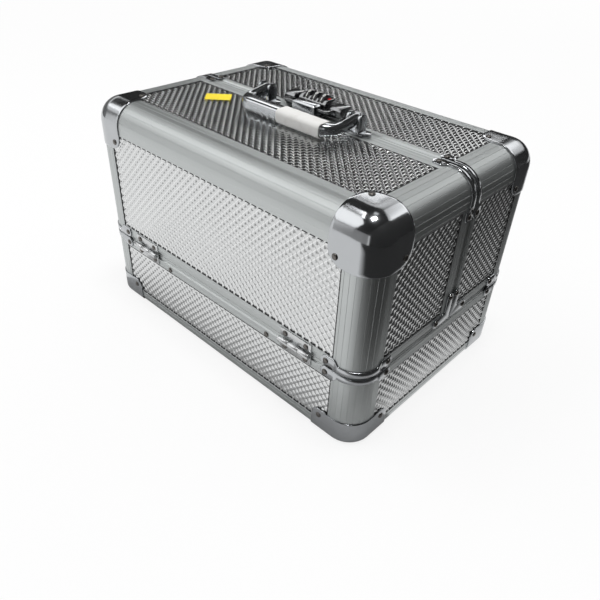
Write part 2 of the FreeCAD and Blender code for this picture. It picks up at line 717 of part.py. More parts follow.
def make_lock():
    """Combination lock on the rear lid with its strike on the front lid."""
    front_edge, plate_top = lock_origin()

    def put(name, pieces):
        """Save a node of the lock at its place along the split."""
        save(name, [piece.translated(along_x * lock_offset) for piece in pieces])

    plate_back = front_edge + lock_plate_depth
    half_plate = lock_plate_length / 2
    plate = fuse([block((-half_plate, half_plate), (front_edge, plate_back), (case_height, plate_top)),
                  block((-half_plate, half_plate), (rear.strip_end, plate_back),
                        (case_height - panel_recess, case_height))])
    put("lock_plate", [bevelled(plate, slide_bevel, lambda e: runs_along(e, along_z)
                                and abs(e.CenterOfMass.x) > half_plate - 1e-6)])

    half_housing = housing_length / 2
    axle_y = front_edge + housing_depth / 2
    axle_z = plate_top + axle_rise
    housing = block((-half_housing, half_housing), (front_edge, front_edge + housing_depth),
                    (plate_top, plate_top + housing_height))
    housing = bevelled(housing, housing_bevel, lambda e: runs_along(e, along_x)
                       and e.CenterOfMass.z > plate_top + 1e-6)
    reach = dial_radius + dial_clearance
    wide = dial_width / 2 + dial_clearance
    middles = [i * dial_pitch for i in range(-1, 2)]
    for middle in middles:
        housing = housing.cut(block((middle - wide, middle + wide), (axle_y - reach, axle_y + reach),
                                    (plate_top, plate_top + housing_height)))
    axle_end = dial_pitch + wide
    axle = cylinder(axle_radius, Vec(-axle_end, axle_y, axle_z), Vec(axle_end, axle_y, axle_z))
    bore = cylinder(axle_radius, Vec(-dial_pitch, axle_y, axle_z), Vec(dial_pitch, axle_y, axle_z))
    put("lock_housing", [housing.cut(bore)])
    put("lock_dial_axle", [axle])

    for number, middle in enumerate(middles, 1):
        turns = [2 * math.pi * k / dial_sides for k in range(dial_sides)]
        dial = face_of([Vec(middle - dial_width / 2, axle_y + dial_radius * math.sin(turn),
                            axle_z + dial_radius * math.cos(turn)) for turn in turns])
        dial = dial.extrude(along_x * dial_width)
        bore = cylinder(axle_radius + running_fit, Vec(middle - dial_width / 2, axle_y, axle_z),
                        Vec(middle + dial_width / 2, axle_y, axle_z))
        put("lock_dial_" + str(number), [dial.cut(bore)])

    mark_x = (half_housing + dial_pitch + dial_width / 2) / 2
    mark_z = plate_top + housing_height
    put("lock_mark", [block((mark_x - mark_length / 2, mark_x + mark_length / 2),
                             (axle_y - mark_depth / 2, axle_y + mark_depth / 2),
                             (mark_z, mark_z + mark_height))])

    near = half_housing + slide_gap + slide_travel
    finger_near = strike_block_length / 2 + slide_clearance * 2 + slide_travel
    finger_front = front_edge - finger_reach
    body_low = plate_top + slide_clearance
    grip = block((near, near + slide_length), (front_edge, front_edge + housing_depth),
                 (body_low, body_low + slide_height))
    grip = bevelled(grip, slide_bevel, lambda e: runs_along(e, along_x)
                    and e.CenterOfMass.z > body_low + 1e-6)
    finger_low = case_height + finger_rise
    finger_high = min(finger_low + finger_thickness, body_low + slide_height - slide_bevel)
    arm = block((finger_near, near + slide_length / 2), (finger_front, front_edge - slide_clearance),
                (finger_low, finger_high))
    tie = block((near + slide_bevel, near + slide_length / 2),
                (front_edge - slide_clearance, front_edge + slide_bevel), (finger_low, finger_high))
    tongue_y = (finger_front, finger_front + tongue_width)
    tongue_z = (finger_low, finger_high)
    tongue = block((finger_near, finger_near - tongue_length), tongue_y, tongue_z)
    slide = fuse([grip, arm, tie, tongue])
    put("lock_slide_right", [slide])
    put("lock_slide_left", [mirror_x(slide)])

    strip_back = front.split_edge - clamp_margin
    strike = block((-strike_length / 2, strike_length / 2), (strip_back - strike_block_depth, strip_back),
                   (case_height, case_height + strike_base))
    post = block((-strike_block_length / 2, strike_block_length / 2),
                 (strip_back - strike_block_depth, strip_back),
                 (case_height + strike_base, case_height + strike_block_height))
    post = bevelled(post, strike_bevel, lambda e: e.CenterOfMass.z > case_height + strike_block_height - 1e-6)
    strike = fuse([strike, post])
    mouth = strike_block_length / 2
    notch = block((mouth, mouth - tongue_length - tongue_clearance),
                  (tongue_y[0] - tongue_clearance, tongue_y[1] + tongue_clearance),
                  (tongue_z[0] - tongue_clearance, tongue_z[1] + tongue_clearance))
    for end_notch in at_both_ends(notch):
        strike = strike.cut(end_notch)
    put("lock_strike", [strike])


os.makedirs("parts", exist_ok=True)
make_base()
make_link_feet()
for half in (front, rear):
    make_lid_shell(half)
    make_lid_hardware(half)
    make_trays(half)
make_handle()
make_lock()
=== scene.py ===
"""A silver makeup train case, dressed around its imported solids.

Lengths are millimetres while a piece is drafted. A finished mesh is in metres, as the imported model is.
"""

from __future__ import annotations

import json
import logging
import math
from dataclasses import dataclass, field
from enum import Enum
from typing import Callable, Sequence

import bmesh
import bpy
from mathutils import Matrix, Vector


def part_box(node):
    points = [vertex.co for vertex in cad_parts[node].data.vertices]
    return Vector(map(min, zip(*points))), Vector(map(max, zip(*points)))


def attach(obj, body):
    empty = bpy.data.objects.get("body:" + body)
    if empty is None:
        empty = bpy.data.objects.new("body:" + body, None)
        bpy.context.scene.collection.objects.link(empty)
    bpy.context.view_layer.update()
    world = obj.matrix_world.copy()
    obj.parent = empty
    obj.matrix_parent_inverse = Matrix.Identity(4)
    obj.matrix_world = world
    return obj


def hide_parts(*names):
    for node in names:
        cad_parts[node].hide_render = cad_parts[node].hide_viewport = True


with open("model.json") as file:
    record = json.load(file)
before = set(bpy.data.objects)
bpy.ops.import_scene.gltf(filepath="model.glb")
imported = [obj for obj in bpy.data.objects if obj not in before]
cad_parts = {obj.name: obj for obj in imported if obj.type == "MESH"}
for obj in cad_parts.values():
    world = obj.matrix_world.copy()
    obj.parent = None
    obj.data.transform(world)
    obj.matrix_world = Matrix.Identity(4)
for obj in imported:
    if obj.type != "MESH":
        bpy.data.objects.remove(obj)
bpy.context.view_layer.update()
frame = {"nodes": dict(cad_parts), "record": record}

# WELD and SPECK are in metres, as meshes are. CUT and TOUCH are in millimetres, as drafts are.
MM = 0.001
WELD = 0.002 * MM
SPECK = 0.001 * MM
CUT = 1e-4
TOUCH = 1e-3
TINY = 1e-9
QUARTER = math.pi / 2
RELIEF = "relief"
X, Y, Z = Vector((1, 0, 0)), Vector((0, 1, 0)), Vector((0, 0, 1))
Colour = tuple[float, float, float, float]
Outline = list[tuple[float, float]]
Seat = tuple[Vector, Vector]
Station = tuple[Vector, Vector, float]
log = logging.getLogger("train_case")


class Run(Enum):
    """The direction in which an extrusion was drawn."""

    X = 0
    Y = 1
    Z = 2


class Side(Enum):
    """The two lids, with the sign of their place along Y."""

    FRONT = -1
    REAR = 1

    @property
    def body(self) -> str:
        """The body that carries this lid's pieces."""
        return self.named("lid")

    def named(self, part: str) -> str:
        """The name of a part of this lid."""
        return self.name.lower() + "_" + part


class Rim(Enum):
    """The rim that a corner clamp sits on, with the sign of its lobes along Z."""

    BASE = -1
    LID = 1


class Stance(Enum):
    """How a card is set up."""

    UPRIGHT = "upright"
    FLAT = "flat"


class Wire:
    """A socket of a material, with arithmetic that adds Math nodes."""

    def __init__(self, recipe: Recipe, socket: bpy.types.NodeSocket | None) -> None:
        """Keep the socket and the recipe that it belongs to."""
        self.recipe = recipe
        self.socket = socket

    def _math(self, operation: str, *values: Wire | float) -> Wire:
        """Add one Math node."""
        return self.recipe.node("ShaderNodeMath", {"operation": operation}, dict(enumerate(values)))

    def __add__(self, other: Wire | float) -> Wire:
        """Sum."""
        return self._math("ADD", self, other)

    __radd__ = __add__

    def __sub__(self, other: Wire | float) -> Wire:
        """Difference."""
        return self._math("SUBTRACT", self, other)

    def __rsub__(self, other: Wire | float) -> Wire:
        """Difference with the wire on the right."""
        return self._math("SUBTRACT", other, self)

    def __mul__(self, other: Wire | float) -> Wire:
        """Product."""
        return self._math("MULTIPLY", self, other)

    __rmul__ = __mul__

    def most(self, other: Wire | float) -> Wire:
        """The greater of two values."""
        return self._math("MAXIMUM", self, other)


class Recipe:
    """The node tree of one material or of the world."""

    mix_factor, mix_first, mix_second, mix_colour = 0, 6, 7, 2

    def __init__(self, tree: bpy.types.NodeTree) -> None:
        """Start from an empty tree."""
        self.tree = tree
        tree.nodes.clear()

    def feed(self, socket: bpy.types.NodeSocket, value: object) -> None:
        """Link a wire to a socket, or set the socket's own value.

        Args:
            socket: The socket to feed.
            value: A wire, or a number, colour or vector.
        """
        if isinstance(value, Wire):
            self.tree.links.new(value.socket, socket)
        else:
            socket.default_value = value

    def node(self, kind: str, settings: dict[str, object] | None = None,
             inputs: dict[object, object] | None = None, output: int | str = 0) -> Wire:
        """Add any node.

        Args:
            kind: The node's type.
            settings: Its own options, set first; "stops" holds a ramp's places and colours.
            inputs: Values or wires by socket name or number.
            output: The socket that is wanted.

        Returns:
            That output socket, or an empty wire where the node has none.
        """
        made = self.tree.nodes.new(kind)
        for key, value in (settings or {}).items():
            if key == "stops":
                for element, (place, colour) in zip(made.color_ramp.elements, value):
                    element.position, element.color = place, colour
            else:
                setattr(made, key, value)
        for key, value in (inputs or {}).items():
            self.feed(made.inputs[key], value)
        return Wire(self, made.outputs[output] if len(made.outputs) else None)

    def mix(self, share: Wire | float, first: object, second: object) -> Wire:
        """Blend two colours."""
        inputs = {self.mix_factor: share, self.mix_first: first, self.mix_second: second}
        return self.node("ShaderNodeMix", {"data_type": "RGBA"}, inputs, self.mix_colour)

    def place(self) -> Wire:
        """The place on the piece, in its own coordinates."""
        return self.node("ShaderNodeTexCoord", output="Object")

    def noise(self, scale: float, detail: float, stretch: Sequence[float] = (1, 1, 1)) -> Wire:
        """Noise from 0 to 1 over the piece's own coordinates, its scale in waves per metre."""
        place = self.node("ShaderNodeMapping", None, {"Vector": self.place(), "Scale": tuple(stretch)})
        return self.node("ShaderNodeTexNoise", None, {"Vector": place, "Scale": scale, "Detail": detail})

    def ramp(self, value: Wire, first: tuple[float, Colour], last: tuple[float, Colour]) -> Wire:
        """A colour that runs from a first place and colour to a last one."""
        return self.node("ShaderNodeValToRGB", {"stops": [first, last]}, {0: value})

    def seen(self) -> Wire:
        """What the camera sees directly, in metal or through glass.

        Returns:
            1 for such a ray, else 0.
        """
        rays = [self.node("ShaderNodeLightPath", output=name)
                for name in ("Is Camera Ray", "Is Glossy Ray", "Is Transmission Ray")]
        return rays[0].most(rays[1]).most(rays[2])

    def bump(self, height: Wire, depth: float, strength: float) -> Wire:
        """A normal from a height, with its depth in metres and the strength of its effect."""
        return self.node("ShaderNodeBump", None, {"Strength": strength, "Distance": depth, "Height": height})

    def principled(self, values: dict[str, object]) -> Wire:
        """A principled shader from values or wires by socket."""
        return self.node("ShaderNodeBsdfPrincipled", None, values)

    def close(self, shader: Wire, kind: str = "ShaderNodeOutputMaterial") -> None:
        """Send a shader to the output of the material or of the world."""
        self.node(kind, None, {"Surface": shader})


def grey(level: float) -> Colour:
    """A neutral colour."""
    return (level, level, level, 1.0)


def toned(colour: Colour, factor: float) -> Colour:
    """A darker or a lighter colour of the same hue."""
    return (*(min(1.0, factor * c) for c in colour[:3]), 1.0)


def new_recipe(name: str) -> tuple[bpy.types.Material, Recipe]:
    """Start a material.

    Args:
        name: The material's name.

    Returns:
        The material and its empty recipe.
    """
    material = bpy.data.materials.new(name)
    material.use_nodes = True
    return material, Recipe(material.node_tree)


@dataclass(frozen=True)
class EmbossedSheet:
    """Silver sheet pressed into small, slightly uneven diamonds, with a painted highlight along the valleys
    between them.
    """

    peak: Colour = (0.66, 0.67, 0.67, 1)
    # valley is a painted highlight, lighter than the sheet's own colour at the peaks.
    valley: Colour = (0.90, 0.905, 0.905, 1)
    contrast: float = 3.2
    blotches: float = 0.3
    roughness: float = 0.11
    cloud_gloss: float = 0.06
    grain_gloss: float = 0.04
    cloud_scale: float = 38.0
    grain_scale: float = 2600.0
    wave_scale: float = 190.0
    grain_share: float = 0.1
    dent: float = 0.00016
    dent_strength: float = 0.8

    def make(self) -> bpy.types.Material:
        """Build the material.

        Returns:
            The material.
        """
        material, recipe = new_recipe("embossed_sheet")
        relief = recipe.node("ShaderNodeAttribute", {"attribute_name": RELIEF}, output="Fac")
        cloud = recipe.noise(self.cloud_scale, detail=3)
        grain = recipe.noise(self.grain_scale, detail=2)
        wave = recipe.noise(self.wave_scale, detail=1)
        recipe.close(recipe.principled({
            # Painted highlight: the base colour is light in the valleys and falls to the peak colour as the
            # diamonds rise.
            "Base Color": recipe.mix(relief * self.contrast + cloud * self.blotches, self.valley, self.peak),
            "Metallic": 1.0,
            "Roughness": cloud * self.cloud_gloss + grain * self.grain_gloss + self.roughness,
            "Normal": recipe.bump(wave + grain * self.grain_share, self.dent, self.dent_strength)}))
        return material


@dataclass(frozen=True)
class SatinExtrusion:
    """Satin aluminium with drawing lines along its run."""

    run: Run
    colour: Colour = (0.60, 0.625, 0.622, 1)
    darkened: float = 0.9
    roughness: float = 0.38
    gloss_spread: float = 0.08
    line_scale: float = 1500.0
    run_scale: float = 4.0
    cloud_scale: float = 24.0
    line_share: float = 0.7
    cloud_share: float = 0.3
    depth: float = 0.00002
    strength: float = 0.35

    def make(self) -> bpy.types.Material:
        """Build the material.

        Returns:
            The material.
        """
        material, recipe = new_recipe("satin_extrusion_" + self.run.name.lower())
        stretch = [self.run_scale if axis is self.run else self.line_scale for axis in Run]
        lines = recipe.noise(1.0, detail=1, stretch=stretch)
        cloud = recipe.noise(self.cloud_scale, detail=3)
        recipe.close(recipe.principled({
            "Base Color": recipe.mix(lines * self.line_share + cloud * self.cloud_share,
                                     toned(self.colour, self.darkened), self.colour),
            "Metallic": 1.0,
            "Roughness": lines * self.gloss_spread + cloud * self.gloss_spread + self.roughness,
            "Normal": recipe.bump(lines, self.depth, self.strength)}))
        return material


@dataclass(frozen=True)
class BrightPlate:
    """Bright plated steel with faint wiping marks."""

    name: str = "bright_plate"
    colour: Colour = (0.50, 0.515, 0.53, 1)
    roughness: float = 0.10
    marks: float = 0.09
    dulled: float = 0.9
    wipe_scale: float = 90.0
    wipe_stretch: tuple[float, float, float] = (1, 2.4, 1)
    fine_scale: float = 1800.0
    depth: float = 0.000004
    strength: float = 0.3

    def make(self) -> bpy.types.Material:
        """Build the material.

        Returns:
            The material.
        """
        material, recipe = new_recipe(self.name)
        wipe = recipe.noise(self.wipe_scale, detail=4, stretch=self.wipe_stretch)
        fine = recipe.noise(self.fine_scale, detail=1)
        recipe.close(recipe.principled({
            "Base Color": recipe.mix(wipe, toned(self.colour, self.dulled), self.colour),
            "Metallic": 1.0,
            "Roughness": wipe * self.marks + self.roughness,
            "Normal": recipe.bump(fine, self.depth, self.strength)}))
        return material


@dataclass(frozen=True)
class NapCloth:
    """Black lining with a short nap."""

    colour: Colour = (0.018, 0.018, 0.021, 1)
    lint: Colour = (0.060, 0.060, 0.066, 1)
    nap_scale: float = 2200.0
    brush_scale: float = 30.0
    nap_share: float = 0.6
    brush_share: float = 0.4
    roughness: float = 0.82
    nap_gloss: float = 0.12
    sheen: float = 0.35
    sheen_roughness: float = 0.5
    depth: float = 0.0002
    strength: float = 0.7

    def make(self) -> bpy.types.Material:
        """Build the material.

        Returns:
            The material.
        """
        material, recipe = new_recipe("nap_cloth")
        nap = recipe.noise(self.nap_scale, detail=3)
        brushed = recipe.noise(self.brush_scale, detail=3)
        lint = nap * self.nap_share + brushed * self.brush_share
        recipe.close(recipe.principled({
            "Base Color": recipe.mix(lint, self.colour, self.lint),
            "Roughness": nap * self.nap_gloss + self.roughness,
            "Sheen Weight": self.sheen,
            "Sheen Roughness": self.sheen_roughness,
            "Normal": recipe.bump(nap, self.depth, self.strength)}))
        return material


@dataclass(frozen=True)
class GrainPlastic:
    """Moulded plastic, enamel or paper with a fine grain."""

    name: str
    colour: Colour
    roughness: float
    grain: float = 900.0
    depth: float = 0.00006
    strength: float = 0.5
    lightened: float = 1.25
    cloud_scale: float = 45.0
    cloud_gloss: float = 0.14

    def make(self) -> bpy.types.Material:
        """Build the material.

        Returns:
            The material.
        """
        material, recipe = new_recipe(self.name)
        cells = recipe.node("ShaderNodeTexVoronoi", None, {"Vector": recipe.place(), "Scale": self.grain})
        cloud = recipe.noise(self.cloud_scale, detail=3)
        recipe.close(recipe.principled({
            "Base Color": recipe.mix(cloud, self.colour, toned(self.colour, self.lightened)),
            "Roughness": cloud * self.cloud_gloss + (self.roughness - self.cloud_gloss / 2),
            "Normal": recipe.bump(cells, self.depth, self.strength)}))
        return material


@dataclass(frozen=True)
class WrapFilm:
    """Thin soft wrap, a little creased and handled."""

    colour: Colour = (0.78, 0.775, 0.755, 1)
    soiled: Colour = (0.62, 0.60, 0.57, 1)
    crease_scale: float = 150.0
    crease_stretch: tuple[float, float, float] = (1, 2.5, 2.5)
    soil_scale: float = 70.0
    soil_gain: float = 3.2
    soil_from: float = 1.7
    roughness: float = 0.36
    crease_gloss: float = 0.2
    depth: float = 0.0004
    strength: float = 0.5

    def make(self) -> bpy.types.Material:
        """Build the material.

        Returns:
            The material.
        """
        material, recipe = new_recipe("wrap_film")
        crease = recipe.noise(self.crease_scale, detail=4, stretch=self.crease_stretch)
        soil = (recipe.noise(self.soil_scale, detail=5) * self.soil_gain - self.soil_from).most(0)
        recipe.close(recipe.principled({
            "Base Color": recipe.mix(soil, self.colour, self.soiled),
            "Roughness": crease * self.crease_gloss + self.roughness,
            "Normal": recipe.bump(crease, self.depth, self.strength)}))
        return material


@dataclass(frozen=True)
class PaleFloor:
    """Pale floor that stays light to the camera and in reflections, and keeps a shadow."""

    colour: Colour = grey(0.90)
    mottled: Colour = grey(0.93)
    mottle_scale: float = 3.0
    roughness: float = 0.9
    glow: float = 0.82
    shadow_reach: float = 0.6
    white_from: float = 2.5

    def make(self) -> bpy.types.Material:
        """Build the material, which is plain white far from the case.

        Returns:
            The material.
        """
        material, recipe = new_recipe("pale_floor")
        shade = recipe.mix(recipe.noise(self.mottle_scale, detail=3), self.colour, self.mottled)
        plain = recipe.principled({"Base Color": shade, "Roughness": self.roughness,
                                   "Specular IOR Level": 0.0})
        light = recipe.node("ShaderNodeEmission", None, {"Color": grey(1.0), "Strength": 1.0})
        away = recipe.node("ShaderNodeVectorMath", {"operation": "LENGTH"}, {0: recipe.place()}, "Value")
        far = recipe.ramp(away * (1 / self.white_from),
                          (self.shadow_reach / self.white_from, grey(self.glow)), (1.0, grey(1.0)))
        share = recipe.seen() * far
        recipe.close(recipe.node("ShaderNodeMixShader", None, {0: share, 1: plain, 2: light}))
        return material


class Finishes:
    """Every material of the case, made once."""

    def __init__(self) -> None:
        """Make the materials."""
        self.sheet = EmbossedSheet().make()
        self.satin = [SatinExtrusion(run).make() for run in Run]
        self.chrome = BrightPlate().make()
        self.rivet = BrightPlate("rivet_steel", (0.17, 0.16, 0.15, 1), 0.24, 0.16).make()
        self.steel = BrightPlate("zinc_steel", (0.46, 0.47, 0.48, 1), 0.30, 0.16).make()
        # The lock's plate colour is darker than the bright chrome: a painted dark reflection.
        self.lock = BrightPlate("lock_plate", (0.27, 0.275, 0.28, 1), 0.11, 0.10).make()
        self.hinge = BrightPlate("hinge_plate", (0.64, 0.65, 0.655, 1), 0.22, 0.12).make()
        self.cloth = NapCloth().make()
        self.tray = GrainPlastic("tray_plastic", (0.022, 0.022, 0.025, 1), 0.48).make()
        # Near-black strips round the panel openings: painted shadow lines where the panels meet their frames.
        self.seal = GrainPlastic("edge_seal", (0.012, 0.012, 0.013, 1), 0.6, 1600.0, 0.00003).make()
        self.board = GrainPlastic("underside_board", (0.030, 0.030, 0.032, 1), 0.62, 500.0, 0.0002).make()
        self.dial = GrainPlastic("dial_black", (0.014, 0.014, 0.015, 1), 0.26, 1500.0, 0.00001).make()
        self.ink = GrainPlastic("dial_ink", (0.80, 0.80, 0.78, 1), 0.42, 2600.0, 0.00001).make()
        self.red = GrainPlastic("red_enamel", (0.62, 0.022, 0.020, 1), 0.24, 1500.0, 0.00001).make()
        self.label = GrainPlastic("yellow_label", (0.88, 0.66, 0.008, 1), 0.42, 700.0, 0.00003).make()
        self.wrap = WrapFilm().make()


def arc(steps: int, sweep: float = QUARTER, start: float = 0.0) -> Outline:
    """Cosine and sine at even steps of a turn in radians, both ends included."""
    turns = [start + sweep * k / steps for k in range(steps + 1)]
    return [(math.cos(turn), math.sin(turn)) for turn in turns]


def rounded_ring(width: float, height: float, radius: float, steps: int = 5) -> Outline:
    """A rounded rectangle about 0, 0.

    Args:
        width: Its full width.
        height: Its full height.
        radius: The radius of its corners.
        steps: How many edges each corner has.

    Returns:
        Its points, in order.
    """
    radius = min(radius, width / 2 - TOUCH, height / 2 - TOUCH)
    ring = []
    for quarter, (a, b) in enumerate(((1, 1), (-1, 1), (-1, -1), (1, -1))):
        ring += [(a * (width / 2 - radius) + radius * c, b * (height / 2 - radius) + radius * s)
                 for c, s in arc(steps, start=QUARTER * quarter)]
    return ring


def eased(value: float) -> float:
    """A smooth step from 0 to 1."""
    value = min(1.0, max(0.0, value))
    return value * value * (3 - 2 * value)


class Draft:
    """Points and faces of a piece in millimetres, gathered before its mesh is made."""

    def __init__(self) -> None:
        """Start empty."""
        self.points: list[Vector] = []
        self.relief: list[float] = []
        self.faces: list[tuple[int, ...]] = []
        self.finish: list[int] = []

    def point(self, place: Vector, relief: float = 0.0) -> int:
        """Add a point.

        Args:
            place: Where it is.
            relief: How far up a diamond it is, from 0 to 1.

        Returns:
            Its number.
        """
        self.points.append(Vector(place))
        self.relief.append(relief)
        return len(self.points) - 1

    def face(self, corners: Sequence[Vector], finish: int = 0) -> None:
        """Add one flat face with new points, in the material of a number."""
        self.faces.append(tuple(self.point(c) for c in corners))
        self.finish.append(finish)

    def grid(self, rows: Sequence[Sequence[Vector]], finish: int = 0, closed: bool = False) -> Draft:
        """Add a grid of quads between rows of equal length.

        Args:
            rows: The points, row by row.
            finish: The number of the material.
            closed: Whether each row is a ring.

        Returns:
            This draft.
        """
        start, count = len(self.points), len(rows[0])
        for row in rows:
            for place in row:
                self.point(place)
        for i in range(len(rows) - 1):
            for j in range(count if closed else count - 1):
                k = (j + 1) % count
                low, high = start + i * count, start + (i + 1) * count
                self.faces.append((low + j, low + k, high + k, high + j))
                self.finish.append(finish)
        return self

    def tube(self, rings: Sequence[Sequence[Vector]], finish: int = 0) -> Draft:
        """Add rings joined by quads, with both ends closed.

        Args:
            rings: The rings, end to end.
            finish: The number of the material.

        Returns:
            This draft.
        """
        self.grid(rings, finish, closed=True)
        self.face(list(reversed(rings[0])), finish)
        self.face(rings[-1], finish)
        return self

    def prism(self, section: Sequence[Vector], run: Vector, finish: int = 0) -> Draft:
        """Add a section drawn out along a run, and return this draft."""
        return self.tube([section, [p + run for p in section]], finish)

    def join(self, other: Draft, change: Callable[[Vector], Vector] = lambda p: p) -> Draft:
        """Add another draft.

        Args:
            other: The draft to add.
            change: Gives the new place of each of its points.

        Returns:
            This draft.
        """
        start = len(self.points)
        self.points += [change(p) for p in other.points]
        self.relief += other.relief
        self.faces += [tuple(start + i for i in f) for f in other.faces]
        self.finish += other.finish
        return self

    def at_both_ends(self) -> Draft:
        """This draft and its mirror image at the other end of the case."""
        return Draft().join(self).join(self, lambda p: Vector((-p.x, p.y, p.z)))

    def on(self, side: Side) -> Draft:
        """A draft made at y > 0, put at the front or the rear."""
        return Draft().join(self, lambda p: Vector((p.x, side.value * p.y, p.z)))

    def at_front_and_rear(self) -> Draft:
        """A draft made at y > 0, and its mirror image at the front."""
        return Draft().join(self).join(self.on(Side.FRONT))

    def at_four_corners(self) -> Draft:
        """A draft made at x > 0 and y > 0, repeated at the four upright corners."""
        return self.at_both_ends().at_front_and_rear()

    def mesh(self) -> bmesh.types.BMesh:
        """Turn the draft into a mesh.

        Returns:
            The mesh in metres, its doubled points joined and its faces turned outward.
        """
        made = bmesh.new()
        layer = made.verts.layers.float.new(RELIEF)
        corners = []
        for place, relief in zip(self.points, self.relief):
            corner = made.verts.new(place * MM)
            corner[layer] = relief
            corners.append(corner)
        for numbers, finish in zip(self.faces, self.finish):
            face = made.faces.new([corners[i] for i in numbers])
            face.material_index = finish
        bmesh.ops.remove_doubles(made, verts=made.verts[:], dist=WELD)
        bmesh.ops.dissolve_degenerate(made, edges=made.edges[:], dist=SPECK)
        bmesh.ops.recalc_face_normals(made, faces=made.faces[:])
        return made


@dataclass
class Workshop:
    """Turns drafts into pieces of the case and keeps a list of them."""

    finishes: Finishes
    bevel_turn: float = 35.0
    bevel_segments: int = 2
    bevel_profile: float = 0.5
    flat_turn: float = 0.6
    bodies: dict[str, str] = field(default_factory=dict)
    pieces: list[bpy.types.Object] = field(default_factory=list)

    def __post_init__(self) -> None:
        """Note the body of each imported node."""
        for body, nodes in frame["record"]["behaviour"]["bodies"].items():
            for node in nodes:
                self.bodies[node] = body

    def bevel(self, made: bmesh.types.BMesh, width: float) -> None:
        """Round the sharp edges of a mesh.

        Args:
            made: The mesh.
            width: The width of the rounded edges, in millimetres.
        """
        sharp = [e for e in made.edges if len(e.link_faces) == 2
                 and e.calc_face_angle(0.0) > math.radians(self.bevel_turn)]
        bmesh.ops.bevel(made, geom=sharp, offset=width * MM, offset_type="OFFSET",
                        segments=self.bevel_segments, profile=self.bevel_profile, affect="EDGES",
                        clamp_overlap=True)

    def piece(self, name: str, made: bmesh.types.BMesh | Draft, materials: Sequence[bpy.types.Material],
              body: str, slot: str, replaces: Sequence[str] = (), bevel: float = 0.0,
              crease: float = 32.0) -> None:
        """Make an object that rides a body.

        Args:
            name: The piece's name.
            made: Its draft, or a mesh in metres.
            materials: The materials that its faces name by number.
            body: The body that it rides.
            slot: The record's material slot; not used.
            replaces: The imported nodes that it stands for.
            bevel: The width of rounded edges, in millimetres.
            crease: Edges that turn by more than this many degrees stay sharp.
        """
        solid = made.mesh() if isinstance(made, Draft) else made
        if bevel:
            self.bevel(solid, bevel)
        for face in solid.faces:
            face.smooth = True
        for edge in solid.edges:
            if len(edge.link_faces) == 2:
                edge.smooth = edge.calc_face_angle(0.0) < math.radians(crease)
        data = bpy.data.meshes.new(name)
        solid.to_mesh(data)
        solid.free()
        for material in materials:
            data.materials.append(material)
        thing = bpy.data.objects.new(name, data)
        bpy.context.scene.collection.objects.link(thing)
        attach(thing, body)
        if replaces:
            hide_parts(*replaces)
        self.bodies[name] = body
        self.pieces.append(thing)

    def softened(self, node: str, material: bpy.types.Material, slot: str, width: float) -> None:
        """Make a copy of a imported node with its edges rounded, which stands for that node.

        Args:
            node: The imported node.
            material: The finish.
            slot: The record's material slot.
            width: The width of the rounded edges, in millimetres.
        """
        solid = bmesh.new()
        solid.from_mesh(frame["nodes"][node].data)
        bmesh.ops.remove_doubles(solid, verts=solid.verts[:], dist=SPECK)
        bmesh.ops.dissolve_limit(solid, angle_limit=math.radians(self.flat_turn), verts=solid.verts[:],
                                 edges=solid.edges[:])
        for face in solid.faces:
            face.material_index = 0
        self.piece(node + "_dressed", solid, [material], self.bodies[node], slot, [node], width)

    def paint(self, node: str, material: bpy.types.Material) -> None:
        """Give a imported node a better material.

        Args:
            node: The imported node.
            material: The finish.
        """
        thing = frame["nodes"][node]
        thing.data.materials.clear()
        thing.data.materials.append(material)
        self.pieces.append(thing)


def box(node: str) -> tuple[Vector, Vector]:
    """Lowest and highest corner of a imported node, in millimetres."""
    low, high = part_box(node)
    return low / MM, high / MM


@dataclass
class Shell:
    """Main sizes of the case: the section of its extrusions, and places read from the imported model."""

    edge_radius: float = 20.0
    lip: float = 6.0
    recess: float = 1.0
    board: float = 4.0
    inner_lip: float = 1.5
    wall: float = 1.5
    channel_depth: float = 7.5

    def __post_init__(self) -> None:
        """Read the places of the main pieces."""
        uprights, rims = box("base_corner_profiles"), box("base_rim_channels")
        self.half_length, self.half_depth = uprights[1].x, uprights[1].y
        self.top = box("front_top_profiles")[1].z
        self.base_low, self.base_top = rims[0].z, rims[1].z
        self.trim_top = box("base_bottom_trims")[1].z
        lid_rims = box("front_rim_channels")
        self.lid_low, self.lid_rim = lid_rims[0].z, lid_rims[1].z
        self.split = {side: tuple(c.y for c in box(side.named("split_strips"))) for side in Side}
        self.core_x, self.core_y = self.half_length - self.edge_radius, self.half_depth - self.edge_radius
        self.core_z = self.top - self.edge_radius
        reach = self.edge_radius + self.lip
        self.end_x, self.end_y = self.half_length - reach, self.half_depth - reach
        self.strip_high = self.top - reach

    def split_edge(self, side: Side) -> float:
        """The edge of a lid's strip at the split."""
        return self.split[side][1 if side is Side.FRONT else 0]

    def strip_end(self, side: Side) -> float:
        """The edge of a lid's strip at its panel."""
        return self.split[side][0 if side is Side.FRONT else 1]


@dataclass
class Span:
    """A rectangle in the plane of a panel."""

    left: float
    right: float
    low: float
    high: float

    @classmethod
    def of(cls, node: str, across: Run, up: Run) -> Span:
        """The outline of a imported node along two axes."""
        low, high = box(node)
        return cls(low[across.value], high[across.value], low[up.value], high[up.value])


@dataclass
class Plane:
    """The plane of a panel's face: its two directions and the place of its origin."""

    across: Vector
    up: Vector
    seat: Vector

    def put(self, draft: Draft) -> Draft:
        """A draft turned from its own plane into the case's frame."""
        out = self.across.cross(self.up)
        return Draft().join(draft, lambda p: self.seat + self.across * p.x + self.up * p.y + out * p.z)


